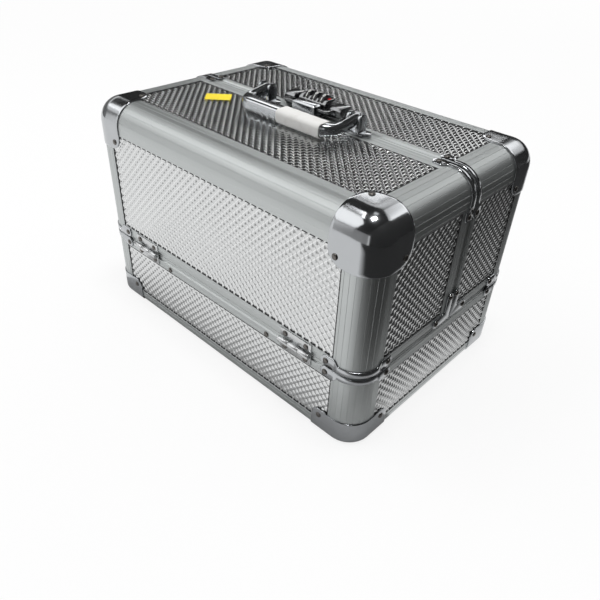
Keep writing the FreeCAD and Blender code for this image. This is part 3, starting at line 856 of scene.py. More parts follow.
@dataclass
class EmbossedPanels:
    """Boards faced with embossed sheet, with a black strip round each opening that paints the shadow line at
    its edge.
    """

    shell: Shell
    pitch: float = 7.1
    height: float = 1.0
    shoulder: float = 0.26
    shoulder_height: float = 0.90
    # The strip round each opening is a painted shadow line.
    seal_width: float = 1.4
    seal_height: float = 0.62
    seal_flat: float = 0.8
    seal_edge: float = 0.7
    crease: float = 45.0

    def lattice(self, opening: Span) -> bmesh.types.BMesh:
        """Diamond cells over an opening, trimmed to its edges.

        Args:
            opening: The part of the panel that shows.

        Returns:
            A mesh in millimetres with its height along Z.
        """
        made = bmesh.new()
        layer = made.verts.layers.float.new(RELIEF)
        half, quarter, valley = self.pitch / 2, self.pitch / 4, {}

        def shared(i: int, j: int) -> bmesh.types.BMVert:
            """A point of the valleys, shared by the cells beside it.

            Args:
                i: Its column, in quarters of the pitch.
                j: Its row.

            Returns:
                The point.
            """
            if (i, j) not in valley:
                valley[i, j] = made.verts.new((i * quarter, j * quarter, 0))
            return valley[i, j]

        ring = [(2, 0), (1, 1), (0, 2), (-1, 1), (-2, 0), (-1, -1), (0, -2), (1, -1)]
        for i in range(math.floor(opening.left / half) - 1, math.ceil(opening.right / half) + 2):
            for j in range(math.floor(opening.low / half) - 1, math.ceil(opening.high / half) + 2):
                if (i + j) % 2:
                    continue
                apex = made.verts.new((i * half, j * half, self.height))
                apex[layer] = 1.0
                outer = [shared(2 * i + a, 2 * j + b) for a, b in ring]
                inner = []
                for a, b in ring:
                    corner = made.verts.new((i * half + a * quarter * self.shoulder,
                                             j * half + b * quarter * self.shoulder,
                                             self.height * self.shoulder_height))
                    corner[layer] = self.shoulder_height
                    inner.append(corner)
                for k in range(len(ring)):
                    n = (k + 1) % len(ring)
                    made.faces.new((outer[k], outer[n], inner[n], inner[k]))
                    made.faces.new((inner[k], inner[n], apex))
        for place, away in (((opening.left, 0, 0), -X), ((opening.right, 0, 0), X),
                            ((0, opening.low, 0), -Y), ((0, opening.high, 0), Y)):
            bmesh.ops.bisect_plane(made, geom=made.verts[:] + made.edges[:] + made.faces[:], dist=CUT,
                                   plane_co=place, plane_no=away, clear_outer=True)
        return made

    def board(self, opening: Span, edge: Span) -> Draft:
        """A closed board: embossed where it shows, flat in the slots round it.

        Args:
            opening: The part that shows.
            edge: The whole board.

        Returns:
            The board in its own plane, its face at Z = 0.
        """
        made = self.lattice(opening)
        layer = made.verts.layers.float[RELIEF]
        rim = [e for e in made.edges if e.is_boundary]
        for corner in {v for e in rim for v in e.verts}:
            corner.co.z, corner[layer] = 0.0, 0.0
        for depth in (0.0, -self.shell.board):
            grown = bmesh.ops.extrude_edge_only(made, edges=rim)["geom"]
            rim = [g for g in grown if isinstance(g, bmesh.types.BMEdge)]
            for corner in (g for g in grown if isinstance(g, bmesh.types.BMVert)):
                for axis, near, far, low, high in ((0, opening.left, opening.right, edge.left, edge.right),
                                                   (1, opening.low, opening.high, edge.low, edge.high)):
                    if abs(corner.co[axis] - near) < TOUCH:
                        corner.co[axis] = low
                    elif abs(corner.co[axis] - far) < TOUCH:
                        corner.co[axis] = high
                corner.co.z, corner[layer] = depth, 0.0
        bmesh.ops.edgeloop_fill(made, edges=rim)
        draft = Draft()
        made.verts.index_update()
        for corner in made.verts:
            draft.point(corner.co, corner[layer])
        draft.faces = sorted(tuple(v.index for v in face.verts) for face in made.faces)
        draft.finish = [0] * len(draft.faces)
        made.free()
        return draft

    def seal(self, opening: Span) -> Draft:
        """The thin black strip just inside an opening, a painted shadow line.

        Args:
            opening: The part of the panel that shows.

        Returns:
            The strip in the panel's own plane.
        """
        wide, tall = self.seal_width, self.seal_height
        section = ((0.0, 0.0), (0.0, tall), (wide * self.seal_flat, tall), (wide, tall * self.seal_edge),
                   (wide, 0.0))
        rings = []
        for inset, rise in section:
            left, right = opening.left + inset, opening.right - inset
            low, high = opening.low + inset, opening.high - inset
            rings.append([Vector((a, b, rise)) for a, b in ((left, low), (right, low), (right, high),
                                                            (left, high))])
        return Draft().grid(rings + rings[:1], closed=True)

    def pair(self, opening: Span, edge: Span, plane: Plane) -> tuple[Draft, Draft]:
        """A board and its painted shadow line in their place."""
        return plane.put(self.board(opening, edge)), plane.put(self.seal(opening))

    def keep(self, shop: Workshop, name: str, body: str, node: str,
             made: Sequence[tuple[Draft, Draft]]) -> None:
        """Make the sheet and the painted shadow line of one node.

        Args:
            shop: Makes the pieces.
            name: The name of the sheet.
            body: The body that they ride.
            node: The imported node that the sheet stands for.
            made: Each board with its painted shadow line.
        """
        boards, shadow_lines = Draft(), Draft()
        for board, seal in made:
            boards.join(board)
            shadow_lines.join(seal)
        shop.piece(name, boards, [shop.finishes.sheet], body, "embossed_panel", [node], crease=self.crease)
        shop.piece(name + "_seal", shadow_lines, [shop.finishes.seal], body, "lining")

    def build(self, shop: Workshop) -> None:
        """Make every panel and its painted shadow line.

        Args:
            shop: Makes the pieces.
        """
        shell = self.shell
        end_plane = Plane(Y, Z, X * (shell.half_length - shell.recess))
        top_plane = Plane(X, Y, Z * (shell.top - shell.recess))
        face_y = shell.half_depth - shell.recess
        for side in Side:
            out, body = side.value, side.body
            long_node, top_node, end_node = (side.named(n) for n in ("long_panel", "top_panel", "end_panels"))
            near, far = sorted((out * shell.end_y, shell.strip_end(side)))
            made = self.pair(Span(-shell.end_x, shell.end_x, shell.lid_rim, shell.strip_high),
                             Span.of(long_node, Run.X, Run.Z), Plane(-X * out, Z, Y * (out * face_y)))
            self.keep(shop, side.named("long_sheet"), body, long_node, [made])
            made = self.pair(Span(-shell.end_x, shell.end_x, near, far), Span.of(top_node, Run.X, Run.Y),
                             top_plane)
            self.keep(shop, side.named("top_sheet"), body, top_node, [made])
            made = self.pair(Span(near, far, shell.lid_rim, shell.strip_high),
                             Span.of(end_node, Run.Y, Run.Z), end_plane)
            self.keep(shop, side.named("end_sheets"), body, end_node,
                      [tuple(draft.at_both_ends() for draft in made)])
        low, high = box("base_wall_panels")

        def wall(half: float, plane: Plane) -> tuple[Draft, Draft]:
            """A wall of the base and its painted shadow line, half a length to either side of the middle."""
            return self.pair(Span(-half, half, shell.trim_top, shell.base_low),
                             Span(-half - shell.lip, half + shell.lip, low.z, high.z), plane)

        walls = [tuple(draft.at_front_and_rear() for draft in wall(shell.end_x, Plane(-X, Z, Y * face_y))),
                 tuple(draft.at_both_ends() for draft in wall(shell.end_y, end_plane))]
        self.keep(shop, "base_wall_sheets", "base", "base_wall_panels", walls)
        shop.paint("base_bottom_panel", shop.finishes.board)


@dataclass
class Extrusions:
    """Quarter-round edges, rims, split strips and bottom trims, with their fine grooves."""

    shell: Shell
    groove_pitch: float = 4.6
    groove_width: float = 0.5
    groove_depth: float = 0.16
    arc_step: float = 1.3
    inner_steps: int = 12
    edge_round: float = 0.3
    slot: float = 6.0
    band_height: float = 4.0
    band_depth: float = 1.2
    band_slope: float = 1.0
    trim_radius: float = 4.0
    trim_steps: int = 8
    crease: float = 24.0

    def grooved(self, length: float, at: Callable[[float], Seat]) -> Outline:
        """A line with grooves cut across it.

        Args:
            length: The length of the line.
            at: Gives the point and the outward normal at a distance along the line.

        Returns:
            The points from start to end.
        """
        count = max(1, round(length / self.groove_pitch))
        cuts = [(k + 0.5) * length / count for k in range(count)]
        half = self.groove_width / 2
        stations = {0.0: 0.0, length: 0.0}
        for cut in cuts:
            for shift, depth in ((-half, 0.0), (-half / 2, self.groove_depth), (half / 2, self.groove_depth),
                                 (half, 0.0)):
                stations[cut + shift] = depth
        steps = max(2, round(length / self.arc_step))
        for k in range(1, steps):
            place = k * length / steps
            if all(abs(place - cut) > half for cut in cuts):
                stations[place] = 0.0
        line = []
        for place in sorted(stations):
            spot, out = at(place)
            line.append(tuple(spot - out * stations[place]))
        return line

    def upright_face(self, start: float, length: float) -> Outline:
        """A flat grooved face, as points of depth and height, from a height over a length."""
        return self.grooved(length, lambda h: (Vector((0, start + h)), Vector((-1, 0))))

    def quarter_round(self) -> Outline:
        """Section of an edge extrusion.

        Returns:
            Its points, with the arc's centre at 0, 0.
        """
        shell, radius, lip = self.shell, self.shell.edge_radius, self.shell.lip
        bend = QUARTER * radius

        def outside(place: float) -> Seat:
            """The rounded face from one lip to the other.

            Args:
                place: The distance along the face.

            Returns:
                The point there and its outward normal.
            """
            if place < lip:
                return Vector((radius, place - lip)), Vector((1, 0))
            if place > lip + bend:
                return Vector((lip + bend - place, radius)), Vector((0, 1))
            turn = (place - lip) / radius
            out = Vector((math.cos(turn), math.sin(turn)))
            return out * radius, out

        slot_out = radius - shell.recess
        slot_in = slot_out - shell.board
        back = slot_in - shell.inner_lip
        inner = radius - shell.wall
        meet = math.sqrt(inner ** 2 - shell.inner_lip ** 2)
        right = [(meet, shell.inner_lip), (back, shell.inner_lip), (back, -lip), (slot_in, -lip),
                 (slot_in, 0), (slot_out, 0), (slot_out, -lip)]
        start = math.asin(shell.inner_lip / inner)
        inside = [(inner * c, inner * s) for c, s in arc(self.inner_steps, QUARTER - 2 * start, start)]
        face = self.grooved(2 * lip + bend, outside)
        return face + [(v, u) for u, v in reversed(right)] + inside[-2:0:-1] + right

    def channel(self, width: float, slot: float) -> Outline:
        """Section of a rim strip, with a lower band where it meets the other half.

        Args:
            width: The strip's width.
            slot: How far its panel reaches in.

        Returns:
            Points of depth from its outer face, and height from its panel edge.
        """
        shell, edge = self.shell, self.edge_round
        start = width - self.band_height
        face = self.upright_face(edge, width - 2 * edge)
        face = sorted(face + [(0.0, start), (0.0, start + self.band_slope)], key=lambda p: p[1])
        line = [(depth + self.band_depth * min(1.0, max(0.0, (height - start) / self.band_slope)), height)
                for depth, height in face]
        back = shell.recess + shell.board
        return line + [(edge + self.band_depth, width), (shell.channel_depth, width),
                       (shell.channel_depth, 0), (back, 0), (back, slot), (shell.recess, slot),
                       (shell.recess, 0), (edge, 0)]

    def trim(self) -> Outline:
        """Section of a bottom trim.

        Returns:
            Points of depth from its outer face, and height.
        """
        shell, radius, top = self.shell, self.trim_radius, self.shell.trim_top
        foot = [(radius - radius * s, radius - radius * c) for c, s in arc(self.trim_steps)[:-1]]
        face = self.upright_face(radius, top - radius - self.edge_round)
        back = shell.recess + shell.board
        return foot + face + [(self.edge_round, top), (shell.recess, top), (shell.recess, shell.board),
                              (back, shell.board), (back, 0)]

    @staticmethod
    def draw(section: Outline, place: Callable[[float, float], Vector], run: Vector, finish: Run) -> Draft:
        """Draw a section, put in its place point by point, out along a run."""
        return Draft().prism([place(a, b) for a, b in section], run, finish.value)

    def keep(self, shop: Workshop, name: str, body: str, node: str, *stretches: Draft) -> None:
        """Make the piece of one node.

        Args:
            shop: Makes the piece.
            name: The piece's name.
            body: The body that it rides.
            node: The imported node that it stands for.
            stretches: The drafts that it is made of.
        """
        whole = Draft()
        for stretch in stretches:
            whole.join(stretch)
        shop.piece(name, whole, shop.finishes.satin, body, "satin_aluminium", [node], crease=self.crease)

    def build_base(self, shop: Workshop) -> None:
        """Make the upright edges, rims and bottom trims of the base.

        Args:
            shop: Makes the pieces.
        """
        shell = self.shell
        foot = box("base_corner_profiles")[0].z
        upright = self.draw(self.quarter_round(),
                            lambda u, v: Vector((shell.core_x + u, shell.core_y + v, foot)),
                            Z * (shell.base_top - foot), Run.Z)
        self.keep(shop, "base_corner_edges", "base", "base_corner_profiles", upright.at_four_corners())
        rim = self.channel(shell.base_top - shell.base_low, self.slot)
        for name, node, section, low in (("base_rims", "base_rim_channels", rim, shell.base_low),
                                         ("base_trims", "base_bottom_trims", self.trim(), 0.0)):
            long = self.draw(section, lambda d, h: Vector((-shell.end_x, shell.half_depth - d, low + h)),
                             X * (2 * shell.end_x), Run.X)
            short = self.draw(section, lambda d, h: Vector((shell.half_length - d, -shell.end_y, low + h)),
                              Y * (2 * shell.end_y), Run.Y)
            self.keep(shop, name, "base", node, long.at_front_and_rear(), short.at_both_ends())

    def build_lid(self, shop: Workshop, side: Side) -> None:
        """Make the top edges, upright edges, rims and split strips of one lid.

        Args:
            shop: Makes the pieces.
            side: The lid.
        """
        shell, out, edge = self.shell, side.value, self.quarter_round()
        split, panel, end_y = shell.split_edge(side), shell.strip_end(side), side.value * shell.end_y
        long_run, end_run = X * (2 * shell.end_x), Y * (split - end_y)

        def keep(name: str, node: str, *stretches: Draft) -> None:
            """Make one piece of this lid."""
            self.keep(shop, side.named(name), side.body, side.named(node), *stretches)

        long = self.draw(edge,
                         lambda u, v: Vector((-shell.end_x, out * (shell.core_y + u), shell.core_z + v)),
                         long_run, Run.X)
        end = self.draw(edge, lambda u, v: Vector((shell.core_x + u, end_y, shell.core_z + v)), end_run,
                        Run.Y)
        keep("top_edges", "top_profiles", long, end.at_both_ends())
        upright = self.draw(edge,
                            lambda u, v: Vector((shell.core_x + u, out * (shell.core_y + v), shell.lid_low)),
                            Z * (shell.strip_high - shell.lid_low), Run.Z)
        keep("corner_edges", "corner_profiles", upright.at_both_ends())
        rim = self.channel(shell.lid_rim - shell.lid_low, self.slot)
        long = self.draw(rim,
                         lambda d, h: Vector((-shell.end_x, out * (shell.half_depth - d), shell.lid_rim - h)),
                         long_run, Run.X)
        end = self.draw(rim, lambda d, h: Vector((shell.half_length - d, end_y, shell.lid_rim - h)), end_run,
                        Run.Y)
        keep("rims", "rim_channels", long, end.at_both_ends())
        width = abs(split - panel)
        strip = self.channel(width, min(self.slot, width / 2))
        long = self.draw(strip, lambda d, h: Vector((-shell.end_x, panel - out * h, shell.top - d)), long_run,
                         Run.X)
        end = self.draw(strip, lambda d, h: Vector((shell.half_length - d, panel - out * h, shell.lid_rim)),
                        Z * (shell.strip_high - shell.lid_rim), Run.Z)
        keep("split_edges", "split_strips", long, end.at_both_ends())

    def build(self, shop: Workshop) -> None:
        """Make every extrusion of the base and of both lids.

        Args:
            shop: Makes the pieces.
        """
        self.build_base(shop)
        for side in Side:
            self.build_lid(shop, side)


@dataclass
class PressedFittings:
    """Ball corners, low caps, corner clamps, split clips and split feet of bright sheet, and the hinges."""

    shell: Shell
    sheet: float = 1.0
    lift: float = 0.02
    roll: float = 0.35
    roll_middle: float = 0.3
    margin: float = 0.6
    least_width: float = 0.01
    crease: float = 50.0
    ball_reach: float = 39.0
    ball_drop: float = 40.0
    ball_lobe: float = 13.0
    rays: int = 20
    rings: int = 18
    corner_steps: int = 14
    cap_reach: float = 42.0
    cap_lobe: float = 16.0
    cap_high: float = 22.6
    cap_band: float = 22.0
    cap_round: float = 8.0
    dip_lead: float = 5.0
    dip_length: float = 8.0
    foot_radius: float = 4.0
    foot_tuck: float = 8.0
    foot_steps: int = 6
    clamp_reach: float = 32.0
    clamp_lobe: float = 4.8
    clamp_band: float = 5.5
    fall_start: float = 12.0
    fall_length: float = 5.0
    clip_width: float = 9.6
    clip_band: float = 5.6
    clip_reach: float = 37.0
    clip_steps: int = 16
    clip_fall_start: float = 1.7
    clip_fall_length: float = 1.1
    plate_arm: float = 8.0
    plate_up: float = 27.0
    plate_along: float = 24.0
    plate_bend: float = 0.4
    plate_corner: float = 1.0
    plate_bevel: float = 0.25
    tip_steps: int = 8
    bend_steps: int = 5
    leaf_bevel: float = 0.2
    pin_bevel: float = 0.1

    def on_corner(self, x: float, y: float, z: float, lift: float) -> Vector:
        """A point of the rounded corner.

        Args:
            x: How far in from the end.
            y: How far in from the long side.
            z: How far down from the top.
            lift: The height over the rounded surface.

        Returns:
            The point, measured from the sharp corner of the case.
        """
        radius = self.shell.edge_radius
        sharp = Vector((-x, -y, -z))
        core = Vector([min(c, -radius) for c in sharp])
        return core + (sharp - core).normalized() * (radius + lift)

    @staticmethod
    def lobe_reach(turn: float, across: float, down: float, radius: float) -> float:
        """Distance from the corner to the edge of a face with one rounded far corner.

        Args:
            turn: The direction, from 0 along the first edge to a quarter turn.
            across: The reach along the first edge.
            down: The reach along the second edge.
            radius: The radius of the far corner.

        Returns:
            The distance.
        """
        c, s = math.cos(turn), math.sin(turn)
        if c > TINY and across / c * s <= down - radius:
            return across / c
        if s > TINY and down / s * c <= across - radius:
            return down / s
        a, b = across - radius, down - radius
        along = a * c + b * s
        return along + math.sqrt(max(0.0, along ** 2 - a * a - b * b + radius ** 2))

    def ball_corner(self) -> Draft:
        """A ball corner of three lobed faces.

        Returns:
            The corner, measured from the sharp corner of the case at x, y, z > 0.
        """
        draft, middle = Draft(), self.roll * self.roll_middle
        faces = [(self.ball_reach, lambda a, b: (a, b, 0.0)), (self.ball_drop, lambda a, b: (a, 0.0, b)),
                 (self.ball_drop, lambda a, b: (0.0, a, b))]
        shares = [n / self.rings for n in range(self.rings)]
        for down, spread in faces:
            rows = []
            for k in range(self.rays + 1):
                turn = QUARTER * k / self.rays
                reach = self.lobe_reach(turn, self.ball_reach, down, self.ball_lobe)
                path = [(share * (reach - self.roll), self.sheet) for share in shares]
                path += [(reach - self.roll, self.sheet), (reach - middle, self.sheet - middle),
                         (reach, self.sheet - self.roll), (reach, self.lift)]
                path += [(reach * share, self.lift) for share in reversed(shares)]
                rows.append([self.on_corner(*spread(d * math.cos(turn), d * math.sin(turn)), lift)
                             for d, lift in path])
            draft.grid(rows)
        return draft

    def edge_path(self, reach: float, steps: int, corner: Vector, first: Vector,
                  last: Vector) -> list[Station]:
        """Stations over a rounded edge, from one face to the other.

        Args:
            reach: How far the path runs from the sharp corner on each face.
            steps: How many steps the rounded part has; each flat part has twice as many.
            corner: The sharp corner that the path goes round.
            first: The outward normal of the face where the path starts.
            last: The outward normal of the face where it ends.

        Returns:
            The point on the case, its outward normal and the distance from the nearer end.
        """
        radius = self.shell.edge_radius
        flat, bend = reach - radius, QUARTER * radius
        total = 2 * flat + bend
        ends = [flat * k / (2 * steps) for k in range(2 * steps)]
        middle = [flat + bend * k / steps for k in range(steps + 1)]
        stations = []
        for place in ends + middle + [total - e for e in reversed(ends)]:
            if place <= flat:
                spot, out = corner + last * (place - reach), first
            elif place >= flat + bend:
                spot, out = corner + first * (total - place - reach), last
            else:
                turn = (place - flat) / radius
                out = last * math.sin(turn) + first * math.cos(turn)
                spot = corner - (first + last) * radius + out * radius
            stations.append((spot, out, min(place, total - place)))
        return stations

    def upright_path(self, reach: float) -> list[Station]:
        """Stations round an upright corner, from the long face to the end face."""
        corner = Vector((self.shell.half_length, self.shell.half_depth, 0))
        return self.edge_path(reach, self.corner_steps, corner, Y, X)

    @staticmethod
    def round_end(distance: float, radius: float) -> float:
        """How far a rounded end falls short of full width.

        Args:
            distance: The distance from its tip.
            radius: The radius of the end.

        Returns:
            The missing width at one edge.
        """
        if distance >= radius:
            return 0.0
        return radius - math.sqrt(radius ** 2 - (radius - distance) ** 2)

    def low_cap(self) -> Draft:
        """A bottom corner: a band with a foot under the case and a lobe on each face.

        Returns:
            The corner at x, y > 0.
        """
        foot, thick, middle = self.foot_radius, self.sheet, self.roll * self.roll_middle
        rings = []
        for spot, out, distance in self.upright_path(self.cap_reach):
            dip = (self.cap_high - self.cap_band) * eased((distance - self.cap_lobe + self.dip_lead)
                                                          / self.dip_length)
            high = self.cap_high - dip - self.round_end(distance, self.cap_round)
            path = [(self.lift, high), (thick - self.roll, high), (thick - middle, high - middle),
                    (thick, high - self.roll)]
            path += [(thick - foot + foot * c, foot - foot * s) for c, s in arc(self.foot_steps)]
            path += [(-self.foot_tuck, 0.0), (-self.foot_tuck, thick), (thick - foot, thick),
                     (self.lift, foot)]
            rings.append([spot + out * lift + Z * height for lift, height in path])
        return Draft().tube(rings)

    def bent_plate(self, stations: Sequence[tuple[Vector, Vector, float, float]], across: Vector) -> Draft:
        """A strip of sheet laid along a path.

        Args:
            stations: Point, outward normal and the two edges of the strip at each place.
            across: The direction of the strip's width.

        Returns:
            The strip.
        """
        thick, rings = self.sheet, []
        for spot, out, low, high in stations:
            roll = min(self.roll, (high - low) / 2)
            path = [(self.lift, low), (thick - roll, low), (thick, low + roll), (thick, high - roll),
                    (thick - roll, high), (self.lift, high)]
            rings.append([spot + out * lift + across * width for lift, width in path])
        return Draft().tube(rings)

    def lobed(self, distance: float, lobe: float, band: float, start: float,
              length: float) -> tuple[float, float]:
        """The two edges of a band with a round lobe at each end.

        Args:
            distance: The distance from the nearer end.
            lobe: The radius of the lobes.
            band: The width of the band between them.
            start: Where a lobe starts to fall to the band.
            length: The length over which it falls.

        Returns:
            The near and the far edge, measured from the straight side.
        """
        width = 2 * lobe - (2 * lobe - band) * eased((distance - start) / length)
        short = self.round_end(distance, lobe)
        return short, max(width - short, short + self.least_width)

    def clamp(self, rim: Rim) -> Draft:
        """A corner clamp.

        Args:
            rim: The rim that it sits on.

        Returns:
            The clamp at x, y > 0.
        """
        base = self.shell.lid_low if rim is Rim.LID else self.shell.base_top
        base += rim.value * self.margin
        stations = []
        for spot, out, distance in self.upright_path(self.clamp_reach + self.clamp_lobe):
            edges = self.lobed(distance, self.clamp_lobe, self.clamp_band, self.fall_start, self.fall_length)
            stations.append((spot, out, *sorted(base + rim.value * edge for edge in edges)))
        return self.bent_plate(stations, Z)

    def clip(self, side: Side) -> Draft:
        """A split clip over the end edge.

        Args:
            side: The lid that it holds.

        Returns:
            The clip at x > 0.
        """
        shell, lobe = self.shell, self.clip_width / 2
        start = shell.split_edge(side) + side.value * self.margin
        corner = Vector((shell.half_length, 0, shell.top))
        stations = []
        for spot, out, distance in self.edge_path(self.clip_reach, self.clip_steps, corner, Z, X):
            edges = self.lobed(distance, lobe, self.clip_band, self.clip_fall_start * lobe,
                               self.clip_fall_length * lobe)
            stations.append((spot, out, *sorted(start + side.value * edge for edge in edges)))
        return self.bent_plate(stations, Y)

    def split_foot(self, side: Side) -> Draft:
        """An L-shaped plate at the foot of a split strip.

        Args:
            side: The lid that carries it.

        Returns:
            The plate at x > 0.
        """
        shell, arm, half = self.shell, self.plate_arm, self.plate_arm / 2
        start, low = shell.split_edge(side) + side.value * self.margin, shell.lid_low + self.margin
        bend = arm * self.plate_bend

        def tip(across: float, up: float, first: float) -> Outline:
            """A half circle at the end of an arm."""
            return [(across + half * c, up + half * s) for c, s in arc(self.tip_steps, math.pi, first)]

        inside = [(arm + bend - bend * s, arm + bend - bend * c) for c, s in arc(self.bend_steps)]
        outline = [(self.plate_corner, 0.0)] + tip(self.plate_along - half, half, -QUARTER) + inside
        outline += tip(half, self.plate_up - half, 0.0) + [(0.0, self.plate_corner)]
        face = shell.half_length + self.lift
        section = [Vector((face, start + side.value * a, low + b)) for a, b in outline]
        return Draft().prism(section, X * self.sheet)

    def build(self, shop: Workshop) -> None:
        """Make every pressed fitting and the hinges.

        Args:
            shop: Makes the pieces.
        """
        shell, finishes, slot = self.shell, shop.finishes, "bright_chrome"

        def keep(name: str, draft: Draft, body: str, node: str) -> None:
            """Make the bright piece of one node."""
            shop.piece(name, draft, [finishes.chrome], body, slot, [node], crease=self.crease)

        sharp = Vector((shell.half_length, shell.half_depth, shell.top))
        corner = Draft().join(self.ball_corner(), lambda p: p + sharp).at_both_ends()
        for side in Side:
            keep(side.named("ball_caps"), corner.on(side), side.body, side.named("ball_corners"))
            keep(side.named("rim_clamps"), self.clamp(Rim.LID).at_both_ends().on(side), side.body,
                 side.named("rim_brackets"))
            shop.piece(side.named("split_plates"), self.split_foot(side).at_both_ends(), [finishes.chrome],
                       side.body, slot, bevel=self.plate_bevel)
            keep(side.named("split_bands"), self.clip(side).at_both_ends(), side.body,
                 side.named("split_clips"))
            shop.softened(side.named("hinge_leaves"), finishes.hinge, slot, self.leaf_bevel)
        keep("base_low_caps", self.low_cap().at_four_corners(), "base", "base_corner_caps")
        keep("base_rim_clamps", self.clamp(Rim.BASE).at_four_corners(), "base", "base_corner_clamps")
        shop.softened("base_hinge_leaves", finishes.hinge, slot, self.leaf_bevel)
        shop.softened("hinge_pins", finishes.steel, "steel", self.pin_bevel)


@dataclass
class Rivets:
    """Dome-headed rivets of the base and of both lids."""

    shell: Shell
    fittings: PressedFittings
    radius: float = 2.5
    height: float = 1.25
    skirt: float = 0.25
    shoulder: float = 0.96
    crown: float = 0.25
    dome_steps: int = 6
    segments: int = 20
    crease: float = 60.0
    ball_inset: float = 32.0
    ball_drop: float = 33.0
    cap_inset: float = 34.5
    cap_height: float = 16.5
    leaf_spacing: float = 22.0
    leaf_rise: float = 6.3
    rim_x: float = 64.0
    rim_rise: float = 2.9
    tip_inset: float = 4.3

    def heads(self, seats: Sequence[Seat]) -> Draft:
        """Domes on a surface.

        Args:
            seats: The place and the outward normal of each.

        Returns:
            The domes.
        """
        path = [(self.radius, 0.0), (self.radius, self.skirt)]
        path += [(self.radius * c * self.shoulder, self.skirt + (self.height - self.skirt) * s)
                 for c, s in arc(self.dome_steps)[:-1]]
        path.append((self.crown, self.height))
        turns = arc(self.segments, 2 * math.pi)[:-1]
        draft = Draft()
        for seat, out in seats:
            first = out.orthogonal().normalized()
            second = out.cross(first)
            draft.join(Draft().tube([[seat + out * rise + first * (radius * c) + second * (radius * s)
                                      for c, s in turns] for radius, rise in path]))
        return draft

    def corner_seats(self, inset: float, height: float) -> list[Seat]:
        """Seats on both faces of the upright corner at x, y > 0.

        Args:
            inset: How far in from the sharp corner.
            height: The height over the ground.

        Returns:
            The two seats.
        """
        shell, face = self.shell, self.fittings.sheet
        return [(Vector((shell.half_length - inset, shell.half_depth + face, height)), Y),
                (Vector((shell.half_length + face, shell.half_depth - inset, height)), X)]

    def leaf_seats(self, height: float) -> list[Seat]:
        """Seats on the hinge leaf at x, y > 0.

        Args:
            height: The height over the ground.

        Returns:
            The two seats.
        """
        corners = [v.co.x / MM for v in frame["nodes"]["base_hinge_leaves"].data.vertices]
        middle = (max(corners) + min(c for c in corners if c > 0)) / 2
        face = self.shell.half_depth + self.fittings.sheet
        return [(Vector((middle + shift * self.leaf_spacing / 2, face, height)), Y) for shift in (-1, 1)]

    def split_seats(self, side: Side) -> list[Seat]:
        """Seats on the clip and on the foot plate of a lid, at x > 0.

        Args:
            side: The lid.

        Returns:
            The four seats.
        """
        shell, plates, out = self.shell, self.fittings, side.value
        face, low = plates.sheet, shell.lid_low + plates.margin
        start = shell.split_edge(side) + out * plates.margin
        lobe, arm = plates.clip_width / 2, plates.plate_arm / 2
        clip_in, end_x = plates.clip_reach - lobe, shell.half_length + face
        return [(Vector((end_x, start + out * lobe, shell.top - clip_in)), X),
                (Vector((shell.half_length - clip_in, start + out * lobe, shell.top + face)), Z),
                (Vector((end_x, start + out * arm, low + plates.plate_up - self.tip_inset)), X),
                (Vector((end_x, start + out * (plates.plate_along - self.tip_inset), low + arm)), X)]

    def build(self, shop: Workshop) -> None:
        """Make the rivets of each body.

        Args:
            shop: Makes the pieces.
        """
        shell, plates, steel = self.shell, self.fittings, [shop.finishes.rivet]
        parting = (shell.base_top + shell.lid_low) / 2
        lobe = plates.margin + plates.clamp_lobe
        base = self.corner_seats(self.cap_inset, self.cap_height)
        base += self.corner_seats(plates.clamp_reach, shell.base_top - lobe)
        base += self.leaf_seats(parting - self.leaf_rise)
        base.append((Vector((self.rim_x, shell.half_depth, shell.base_low + self.rim_rise)), Y))
        shop.piece("base_rivets", self.heads(base).at_four_corners(), steel, "base", "steel",
                   crease=self.crease)
        lid = self.corner_seats(self.ball_inset, shell.top - self.ball_drop)
        lid += self.corner_seats(plates.clamp_reach, shell.lid_low + lobe)
        lid += self.leaf_seats(parting + self.leaf_rise)
        lid.append((Vector((shell.half_length - self.ball_inset, shell.half_depth - self.ball_inset,
                            shell.top + plates.sheet)), Z))
        for side in Side:
            heads = self.heads(lid).on(side).join(self.heads(self.split_seats(side)))
            shop.piece(side.named("rivets"), heads.at_both_ends(), steel, side.body, "steel",
                       crease=self.crease)


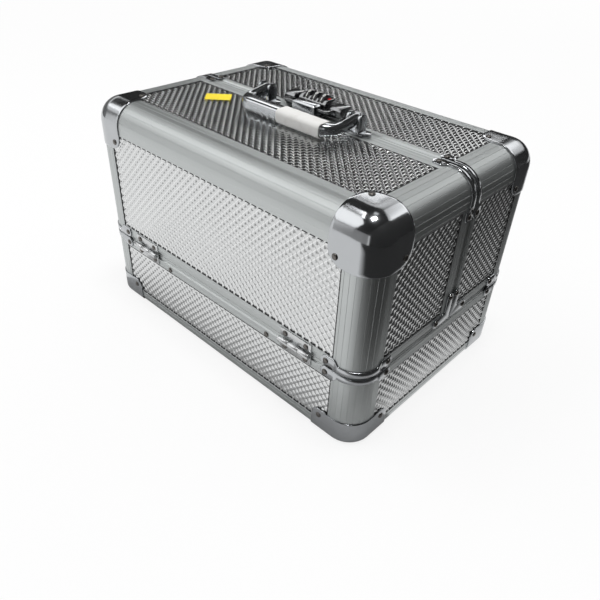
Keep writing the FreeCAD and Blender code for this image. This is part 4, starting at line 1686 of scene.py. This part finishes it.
@dataclass
class Handle:
    """Folding handle: bail, grip wrap, brackets and pins."""

    arm_width: float = 8.0
    arm_height: float = 9.0
    grip_depth: float = 14.0
    grip_height: float = 10.5
    grip_steps: int = 6
    bend: float = 14.0
    bend_steps: int = 14
    rounding: float = 3.2
    tail: tuple[float, ...] = (0.25, 0.5, 0.72, 0.80, 0.86, 0.91, 0.95, 0.975, 0.99, 0.998)
    tip_share: float = 0.004
    wrap: float = 0.7
    wrap_lift: float = 0.06
    wrap_wave: float = 0.12
    wave_turn: float = 2.4
    wrap_steps: int = 12
    hem: tuple[tuple[float, float], ...] = ((0.0, 0.0), (0.15, 0.35), (0.5, 0.55), (1.2, 0.68))
    bar_crease: float = 50.0
    wrap_crease: float = 60.0
    bracket_bevel: float = 0.45
    pin_bevel: float = 0.2

    def __post_init__(self) -> None:
        """Read the places of the pivots and of the grip."""
        pins, bail = box("handle_pins"), box("handle_bail")
        self.pivot = (pins[0] + pins[1]) / 2
        self.arm_x = bail[1].x - self.arm_width / 2
        self.grip_y = bail[0].y + self.grip_depth / 2
        self.grip_z = bail[0].z + self.grip_height / 2

    def half_path(self) -> list[Station]:
        """Stations of the right half, from the middle of the grip to the end of the arm.

        Returns:
            Point, outward direction in plan, and a share that runs from 0 in the grip to 1 in the arm.
        """
        centre = Vector((self.arm_x - self.bend, self.grip_y + self.bend))
        plan = [(Vector((centre.x * k / self.grip_steps, self.grip_y)), Vector((0, -1)), 0.0)
                for k in range(self.grip_steps)]
        for k, (c, s) in enumerate(arc(self.bend_steps)):
            out = Vector((s, -c))
            plan.append((centre + out * self.bend, out, k / self.bend_steps))
        run = self.pivot.y + self.arm_height / 2 - centre.y
        plan += [(Vector((self.arm_x, centre.y + run * t)), Vector((1, 0)), 1.0) for t in self.tail]
        slope_start = self.grip_y + self.grip_depth / 2
        rise = (self.pivot.z - self.grip_z) / (self.pivot.y - slope_start)
        path = []
        for spot, out, share in plan:
            height = self.grip_z + max(0.0, min(spot.y, self.pivot.y) - slope_start) * rise
            path.append((Vector((*spot, height)), Vector((*out, 0)), share))
        return path

    def bail(self) -> Draft:
        """The bent bar.

        Returns:
            Both halves of the bar.
        """
        rings = []
        for spot, out, share in self.half_path():
            blend = eased(share)
            width = self.grip_depth + (self.arm_width - self.grip_depth) * blend
            tall = self.grip_height + (self.arm_height - self.grip_height) * blend
            over = max(0.0, spot.y - self.pivot.y) / (self.arm_height / 2)
            tall *= math.sqrt(max(self.tip_share, 1 - over ** 2))
            rings.append([spot + out * a + Z * b for a, b in rounded_ring(width, tall, self.rounding)])
        mirror = [[Vector((-p.x, p.y, p.z)) for p in ring] for ring in reversed(rings[1:])]
        return Draft().tube(mirror + rings)

    def sleeve(self) -> Draft:
        """The wrap round the grip, with soft ends.

        Returns:
            The wrap, closed on its inner side.
        """
        low, high = box("handle_sleeve")
        length, count = high.x - low.x, self.wrap_steps
        places = list(self.hem)
        places += [(length * k / count, self.wrap + self.wrap_wave * math.sin(self.wave_turn * k))
                   for k in range(1, count)]
        places += [(length - d, w) for d, w in reversed(self.hem)]

        def ring(place: float, lift: float) -> list[Vector]:
            """One ring round the grip.

            Args:
                place: The distance from the left end.
                lift: The height over the bar.

            Returns:
                Its points.
            """
            shape = rounded_ring(self.grip_depth + 2 * lift, self.grip_height + 2 * lift,
                                 self.rounding + lift)
            return [Vector((low.x + place, self.grip_y + a, self.grip_z + b)) for a, b in shape]

        rings = [ring(place, max(lift, self.wrap_lift)) for place, lift in places]
        inner = [ring(length, self.wrap_lift), ring(0.0, self.wrap_lift)]
        return Draft().grid(rings + inner + rings[:1], closed=True)

    def build(self, shop: Workshop) -> None:
        """Make the handle.

        Args:
            shop: Makes the pieces.
        """
        chrome = shop.finishes.chrome
        shop.piece("handle_bar", self.bail(), [chrome], "handle", "bright_chrome", ["handle_bail"],
                   crease=self.bar_crease)
        shop.piece("handle_wrap", self.sleeve(), [shop.finishes.wrap], "handle", "white_sleeve",
                   ["handle_sleeve"], crease=self.wrap_crease)
        shop.softened("handle_brackets", chrome, "bright_chrome", self.bracket_bevel)
        shop.softened("handle_pins", shop.finishes.steel, "steel", self.pin_bevel)


@dataclass
class NumberLock:
    """Number-dial lock: plate, housing, dials with numbers, slides and strike."""

    digit_size: float = 4.7
    digit_weight: float = 0.05
    digit_rise: float = 0.12
    digits: int = 10
    seat_margin: float = 9.0
    seat_width: float = 12.4
    seat_height: float = 0.9
    seat_lift: float = 0.02
    seat_steps: int = 10
    seat_bevel: float = 0.3
    strike_bevel: float = 0.4
    plate_bevel: float = 0.35
    housing_bevel: float = 0.25
    slide_bevel: float = 0.45
    axle_bevel: float = 0.1
    mark_bevel: float = 0.12
    dial_bevel: float = 0.35

    def digit(self, number: int) -> Draft:
        """One number.

        Args:
            number: The number to draw.

        Returns:
            The number about 0, 0, raised along Z.
        """
        curve = bpy.data.curves.new("number", "FONT")
        curve.body = str(number)
        curve.size, curve.offset, curve.extrude = self.digit_size, self.digit_weight, self.digit_rise
        curve.align_x, curve.align_y = "CENTER", "CENTER"
        holder = bpy.data.objects.new("number", curve)
        mesh = bpy.data.meshes.new_from_object(holder)
        draft = Draft()
        for corner in mesh.vertices:
            draft.point(corner.co)
        draft.faces = [tuple(p.vertices) for p in mesh.polygons]
        draft.finish = [0] * len(draft.faces)
        bpy.data.objects.remove(holder)
        bpy.data.curves.remove(curve)
        bpy.data.meshes.remove(mesh)
        return draft

    def numbers(self, dial: str) -> Draft:
        """The numbers round one dial, each on its own flat.

        Args:
            dial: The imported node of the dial.

        Returns:
            The numbers.
        """
        low, high = box(dial)
        middle = (low + high) / 2
        flat = (high.z - low.z) / 2 * math.cos(math.pi / self.digits)
        draft = Draft()
        for number in range(self.digits):
            turned = Matrix.Rotation(2 * math.pi * (number + 0.5) / self.digits, 3, "X")
            draft.join(self.digit(number), lambda p: middle + turned @ Vector((p.x, p.y, flat + p.z)))
        return draft

    def strike_seat(self) -> Draft:
        """The round-ended plate that the strike stands on.

        Returns:
            The plate.
        """
        low, high = box("lock_strike")
        strip_y = sum(c.y for c in box("front_split_strips")) / 2
        middle = Vector(((low.x + high.x) / 2, strip_y, low.z + self.seat_lift))
        outline = rounded_ring(high.x - low.x + 2 * self.seat_margin, self.seat_width, self.seat_width / 2,
                               self.seat_steps)
        return Draft().prism([middle + Vector((a, b, 0)) for a, b in outline], Z * self.seat_height)

    def build(self, shop: Workshop) -> None:
        """Make the lock.

        Args:
            shop: Makes the pieces.
        """
        finishes, slot = shop.finishes, "bright_chrome"
        shop.piece("lock_strike_seat", self.strike_seat(), [finishes.chrome], "front_lid", slot,
                   bevel=self.seat_bevel)
        shop.softened("lock_strike", finishes.chrome, slot, self.strike_bevel)
        # Plate, housing and slides take the darker lock finish: a painted dark reflection.
        for node, width in (("lock_plate", self.plate_bevel), ("lock_housing", self.housing_bevel),
                            ("lock_slide_left", self.slide_bevel), ("lock_slide_right", self.slide_bevel)):
            shop.softened(node, finishes.lock, slot, width)
        shop.softened("lock_dial_axle", finishes.steel, "steel", self.axle_bevel)
        shop.softened("lock_mark", finishes.red, "red_mark", self.mark_bevel)
        for dial in ("lock_dial_1", "lock_dial_2", "lock_dial_3"):
            shop.softened(dial, finishes.dial, "dial_black", self.dial_bevel)
            shop.piece(dial + "_numbers", self.numbers(dial), [finishes.ink], shop.bodies[dial], "dial_black")


@dataclass
class Trays:
    """Cantilever trays, their links and pivots, and the linings."""

    tray_bevel: float = 0.6
    link_bevel: float = 0.3
    pivot_bevel: float = 0.2

    def build(self, shop: Workshop) -> None:
        """Dress the inside of the case.

        Args:
            shop: Makes the pieces.
        """
        finishes = shop.finishes
        for side in Side:
            for tray in ("lower_tray", "upper_tray"):
                shop.softened(side.named(tray), finishes.tray, "tray_plastic", self.tray_bevel)
            shop.softened(side.named("tray_links"), finishes.steel, "steel", self.link_bevel)
            shop.softened(side.named("tray_pivots"), finishes.steel, "steel", self.pivot_bevel)
            shop.paint(side.named("lining"), finishes.cloth)
        shop.softened("base_link_feet", finishes.steel, "steel", self.pivot_bevel)
        shop.paint("base_lining", finishes.cloth)


@dataclass
class Label:
    """The plain yellow label on the front lid."""

    shell: Shell
    centre: tuple[float, float] = (-86.0, -24.5)
    length: float = 23.0
    width: float = 16.0
    turn: float = 43.0
    lift: float = 0.98
    thickness: float = 0.14
    steps: int = 12
    curl: float = 0.5
    curl_from: float = 1.5
    crease: float = 50.0

    def paper(self, rise: float) -> list[list[Vector]]:
        """One side of the paper, its far corner a little lifted.

        Args:
            rise: Its height over the tops of the diamonds.

        Returns:
            Its points, row by row.
        """
        turn = math.radians(self.turn)
        along = Vector((math.cos(turn), math.sin(turn), 0))
        across = Z.cross(along)
        middle = Vector((*self.centre, self.shell.top - self.shell.recess + self.lift))
        shares = [k / self.steps for k in range(self.steps + 1)]
        rows = []
        for a in shares:
            curls = [self.curl * max(0.0, a + b - self.curl_from) ** 2 for b in shares]
            rows.append([middle + along * ((a - 0.5) * self.length) + across * ((b - 0.5) * self.width)
                         + Z * (rise + curl) for b, curl in zip(shares, curls)])
        return rows

    @staticmethod
    def border(rows: list[list[Vector]]) -> list[Vector]:
        """The outline of one side, in order."""
        return rows[0] + [r[-1] for r in rows[1:]] + rows[-1][-2::-1] + [r[0] for r in rows[-2:0:-1]]

    def build(self, shop: Workshop) -> None:
        """Lay the label over the tops of the diamonds.

        Args:
            shop: Makes the piece.
        """
        low, high = self.paper(0.0), self.paper(self.thickness)
        draft = Draft().grid(low).grid(high).grid([self.border(low), self.border(high)], closed=True)
        shop.piece("yellow_label", draft, [shop.finishes.label], "front_lid", "white_sleeve",
                   crease=self.crease)


@dataclass(frozen=True)
class Lamp:
    """A soft box that faces the case, its place and size in metres and its power in watts."""

    name: str
    place: tuple[float, float, float]
    size: tuple[float, float]
    power: float

    def hang(self, aim: Vector) -> None:
        """Hang the lamp.

        Args:
            aim: The point that it faces, in metres.
        """
        data = bpy.data.lights.new(self.name, "AREA")
        data.shape, data.energy = "RECTANGLE", self.power
        data.size, data.size_y = self.size
        thing = bpy.data.objects.new(self.name, data)
        thing.location = self.place
        thing.rotation_euler = (aim - Vector(self.place)).to_track_quat("-Z", "Y").to_euler()
        bpy.context.scene.collection.objects.link(thing)


@dataclass(frozen=True)
class Card:
    """A card that only bright metal sees, in metres, to deepen what it reflects.

    An upright card stands on the line between two places. A flat one lies between them at its height.
    """

    name: str
    start: tuple[float, float]
    end: tuple[float, float]
    height: float
    shade: float = 0.03
    stance: Stance = Stance.UPRIGHT
    fade: tuple[float, float] | None = None
    darkened: float = 0.8
    mottle_scale: float = 40.0
    roughness: float = 0.9

    def corners(self) -> list[tuple[float, float, float]]:
        """Its outline.

        Returns:
            Its four corners.
        """
        (left, near), (right, far), high = self.start, self.end, self.height
        if self.stance is Stance.FLAT:
            return [(left, near, high), (right, near, high), (right, far, high), (left, far, high)]
        return [(left, near, 0), (right, far, 0), (right, far, high), (left, near, high)]

    def material(self) -> bpy.types.Material:
        """Build its material, clear before the first place of its fade along X and solid after the second.

        Returns:
            The material.
        """
        material, recipe = new_recipe(self.name)
        light = grey(self.shade)
        dark = toned(light, self.darkened)
        shader = recipe.principled({
            "Base Color": recipe.mix(recipe.noise(self.mottle_scale, detail=3), dark, light),
            "Roughness": self.roughness})
        if self.fade:
            along = recipe.node("ShaderNodeSeparateXYZ", None, {0: recipe.place()}, "X")
            share = recipe.ramp(along, (self.fade[0], grey(0.0)), (self.fade[1], grey(1.0)))
            clear = recipe.node("ShaderNodeBsdfTransparent")
            shader = recipe.node("ShaderNodeMixShader", None, {0: share, 1: clear, 2: shader})
        recipe.close(shader)
        return material

    def set_up(self) -> None:
        """Set the card up near the case."""
        data = bpy.data.meshes.new(self.name)
        data.from_pydata(self.corners(), [], [(0, 1, 2, 3)])
        data.materials.append(self.material())
        thing = bpy.data.objects.new(self.name, data)
        bpy.context.scene.collection.objects.link(thing)
        thing.visible_camera = thing.visible_diffuse = thing.visible_shadow = False


@dataclass
class Studio:
    """Floor, lights, world and the camera at the photograph's place."""

    camera_place: tuple[float, float, float] = (330.02, -366.54, 372.12)
    right: tuple[float, float, float] = (0.72457, 0.68802, 0.04034)
    down: tuple[float, float, float] = (0.43295, -0.40884, -0.80337)
    forward: tuple[float, float, float] = (-0.53624, 0.59956, -0.59412)
    lens: float = 35.595
    sensor: float = 36.0
    clip: tuple[float, float] = (0.01, 100.0)
    floor_size: float = 20.0
    floor_gap: float = 0.05
    aim: tuple[float, float, float] = (0.0, 0.0, 0.10)
    room: float = 0.45
    lamps: tuple[Lamp, ...] = (
        Lamp("key", (-1.5, -1.09, 1.92), (1.9, 1.5), 15.0),
        Lamp("top", (0.18, -0.05, 2.2), (0.5, 0.35), 20.0),
        Lamp("overhead", (-0.15, 0.62, 2.0), (0.4, 0.4), 0.42),
        Lamp("fill", (0.55, 2.1, 1.6), (1.6, 1.2), 5.0),
        Lamp("left_tube", (-0.85, -0.15, 2.0), (0.8, 0.1), 1.5),
        Lamp("rear_tube", (-1.32, 1.73, 1.2), (1.5, 0.22), 3.4))
    cards: tuple[Card, ...] = (
        # floor_card is painted shadow: a dark sheet, seen only in reflections, on the floor to the right
        # where the case's shadow falls.
        Card("floor_card", (0.162, -2.4), (0.8, 1.4), 0.0005, 0.03, Stance.FLAT, (0.145, 0.255)),
        Card("front_floor_card", (-0.17, -0.165), (0.21, -0.055), 0.0008, 0.5, Stance.FLAT),
        Card("right_card", (0.8, -1.3), (0.8, 1.4), 1.2),
        Card("rear_card", (-2.6, 1.0), (-0.5, 2.9), 1.7),
        Card("back_card", (-0.5, 2.9), (1.6, 2.7), 1.7),
        Card("front_card", (-1.5, -2.5), (1.2, -2.5), 1.5, 0.5),
        Card("left_card", (-2.3, -1.5), (-2.3, 0.9), 1.1, 0.25),
        Card("roof_card", (-4.0, -4.2), (2.6, 2.6), 2.45, 0.03, Stance.FLAT))

    def world(self) -> None:
        """Make a plain room, white to the camera and in reflections."""
        world = bpy.data.worlds.new("room")
        bpy.context.scene.world = world
        world.use_nodes = True
        recipe = Recipe(world.node_tree)
        colour = recipe.mix(recipe.seen(), grey(self.room), grey(1.0))
        light = recipe.node("ShaderNodeBackground", None, {"Color": colour, "Strength": 1.0})
        recipe.close(light, "ShaderNodeOutputWorld")

    def floor(self) -> None:
        """Lay the pale floor under the case."""
        half = self.floor_size / 2
        data = bpy.data.meshes.new("floor")
        data.from_pydata([(-half, -half, 0), (half, -half, 0), (half, half, 0), (-half, half, 0)], [],
                         [(0, 1, 2, 3)])
        data.materials.append(PaleFloor().make())
        thing = bpy.data.objects.new("floor", data)
        thing.location.z = -self.floor_gap * MM
        bpy.context.scene.collection.objects.link(thing)

    def camera(self) -> None:
        """Set the camera."""
        data = bpy.data.cameras.new("camera")
        data.lens, data.sensor_width, data.sensor_fit = self.lens, self.sensor, "HORIZONTAL"
        data.clip_start, data.clip_end = self.clip
        thing = bpy.data.objects.new("camera", data)
        axes = (Vector(self.right), -Vector(self.down), -Vector(self.forward))
        turn = Matrix(axes).transposed().to_4x4()
        thing.matrix_world = Matrix.Translation(Vector(self.camera_place) * MM) @ turn
        bpy.context.scene.collection.objects.link(thing)
        bpy.context.scene.camera = thing

    def build(self) -> None:
        """Set up the studio."""
        self.world()
        self.floor()
        for lamp in self.lamps:
            lamp.hang(Vector(self.aim))
        for card in self.cards:
            card.set_up()
        self.camera()
        bpy.context.scene.view_settings.view_transform = "Standard"


def main() -> None:
    """Build the case class by class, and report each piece."""
    logging.basicConfig(level=logging.INFO, format="%(name)s %(message)s")
    shop = Workshop(Finishes())
    shell = Shell()
    fittings = PressedFittings(shell)
    for assembly in (EmbossedPanels(shell), Extrusions(shell), fittings, Rivets(shell, fittings), Handle(),
                     NumberLock(), Trays(), Label(shell)):
        done = len(shop.pieces)
        assembly.build(shop)
        for thing in shop.pieces[done:]:
            log.info("%s: %d faces on %s", thing.name, len(thing.data.polygons), shop.bodies[thing.name])
    Studio().build()
    bpy.context.view_layer.update()


if __name__ == "__main__":
    main()
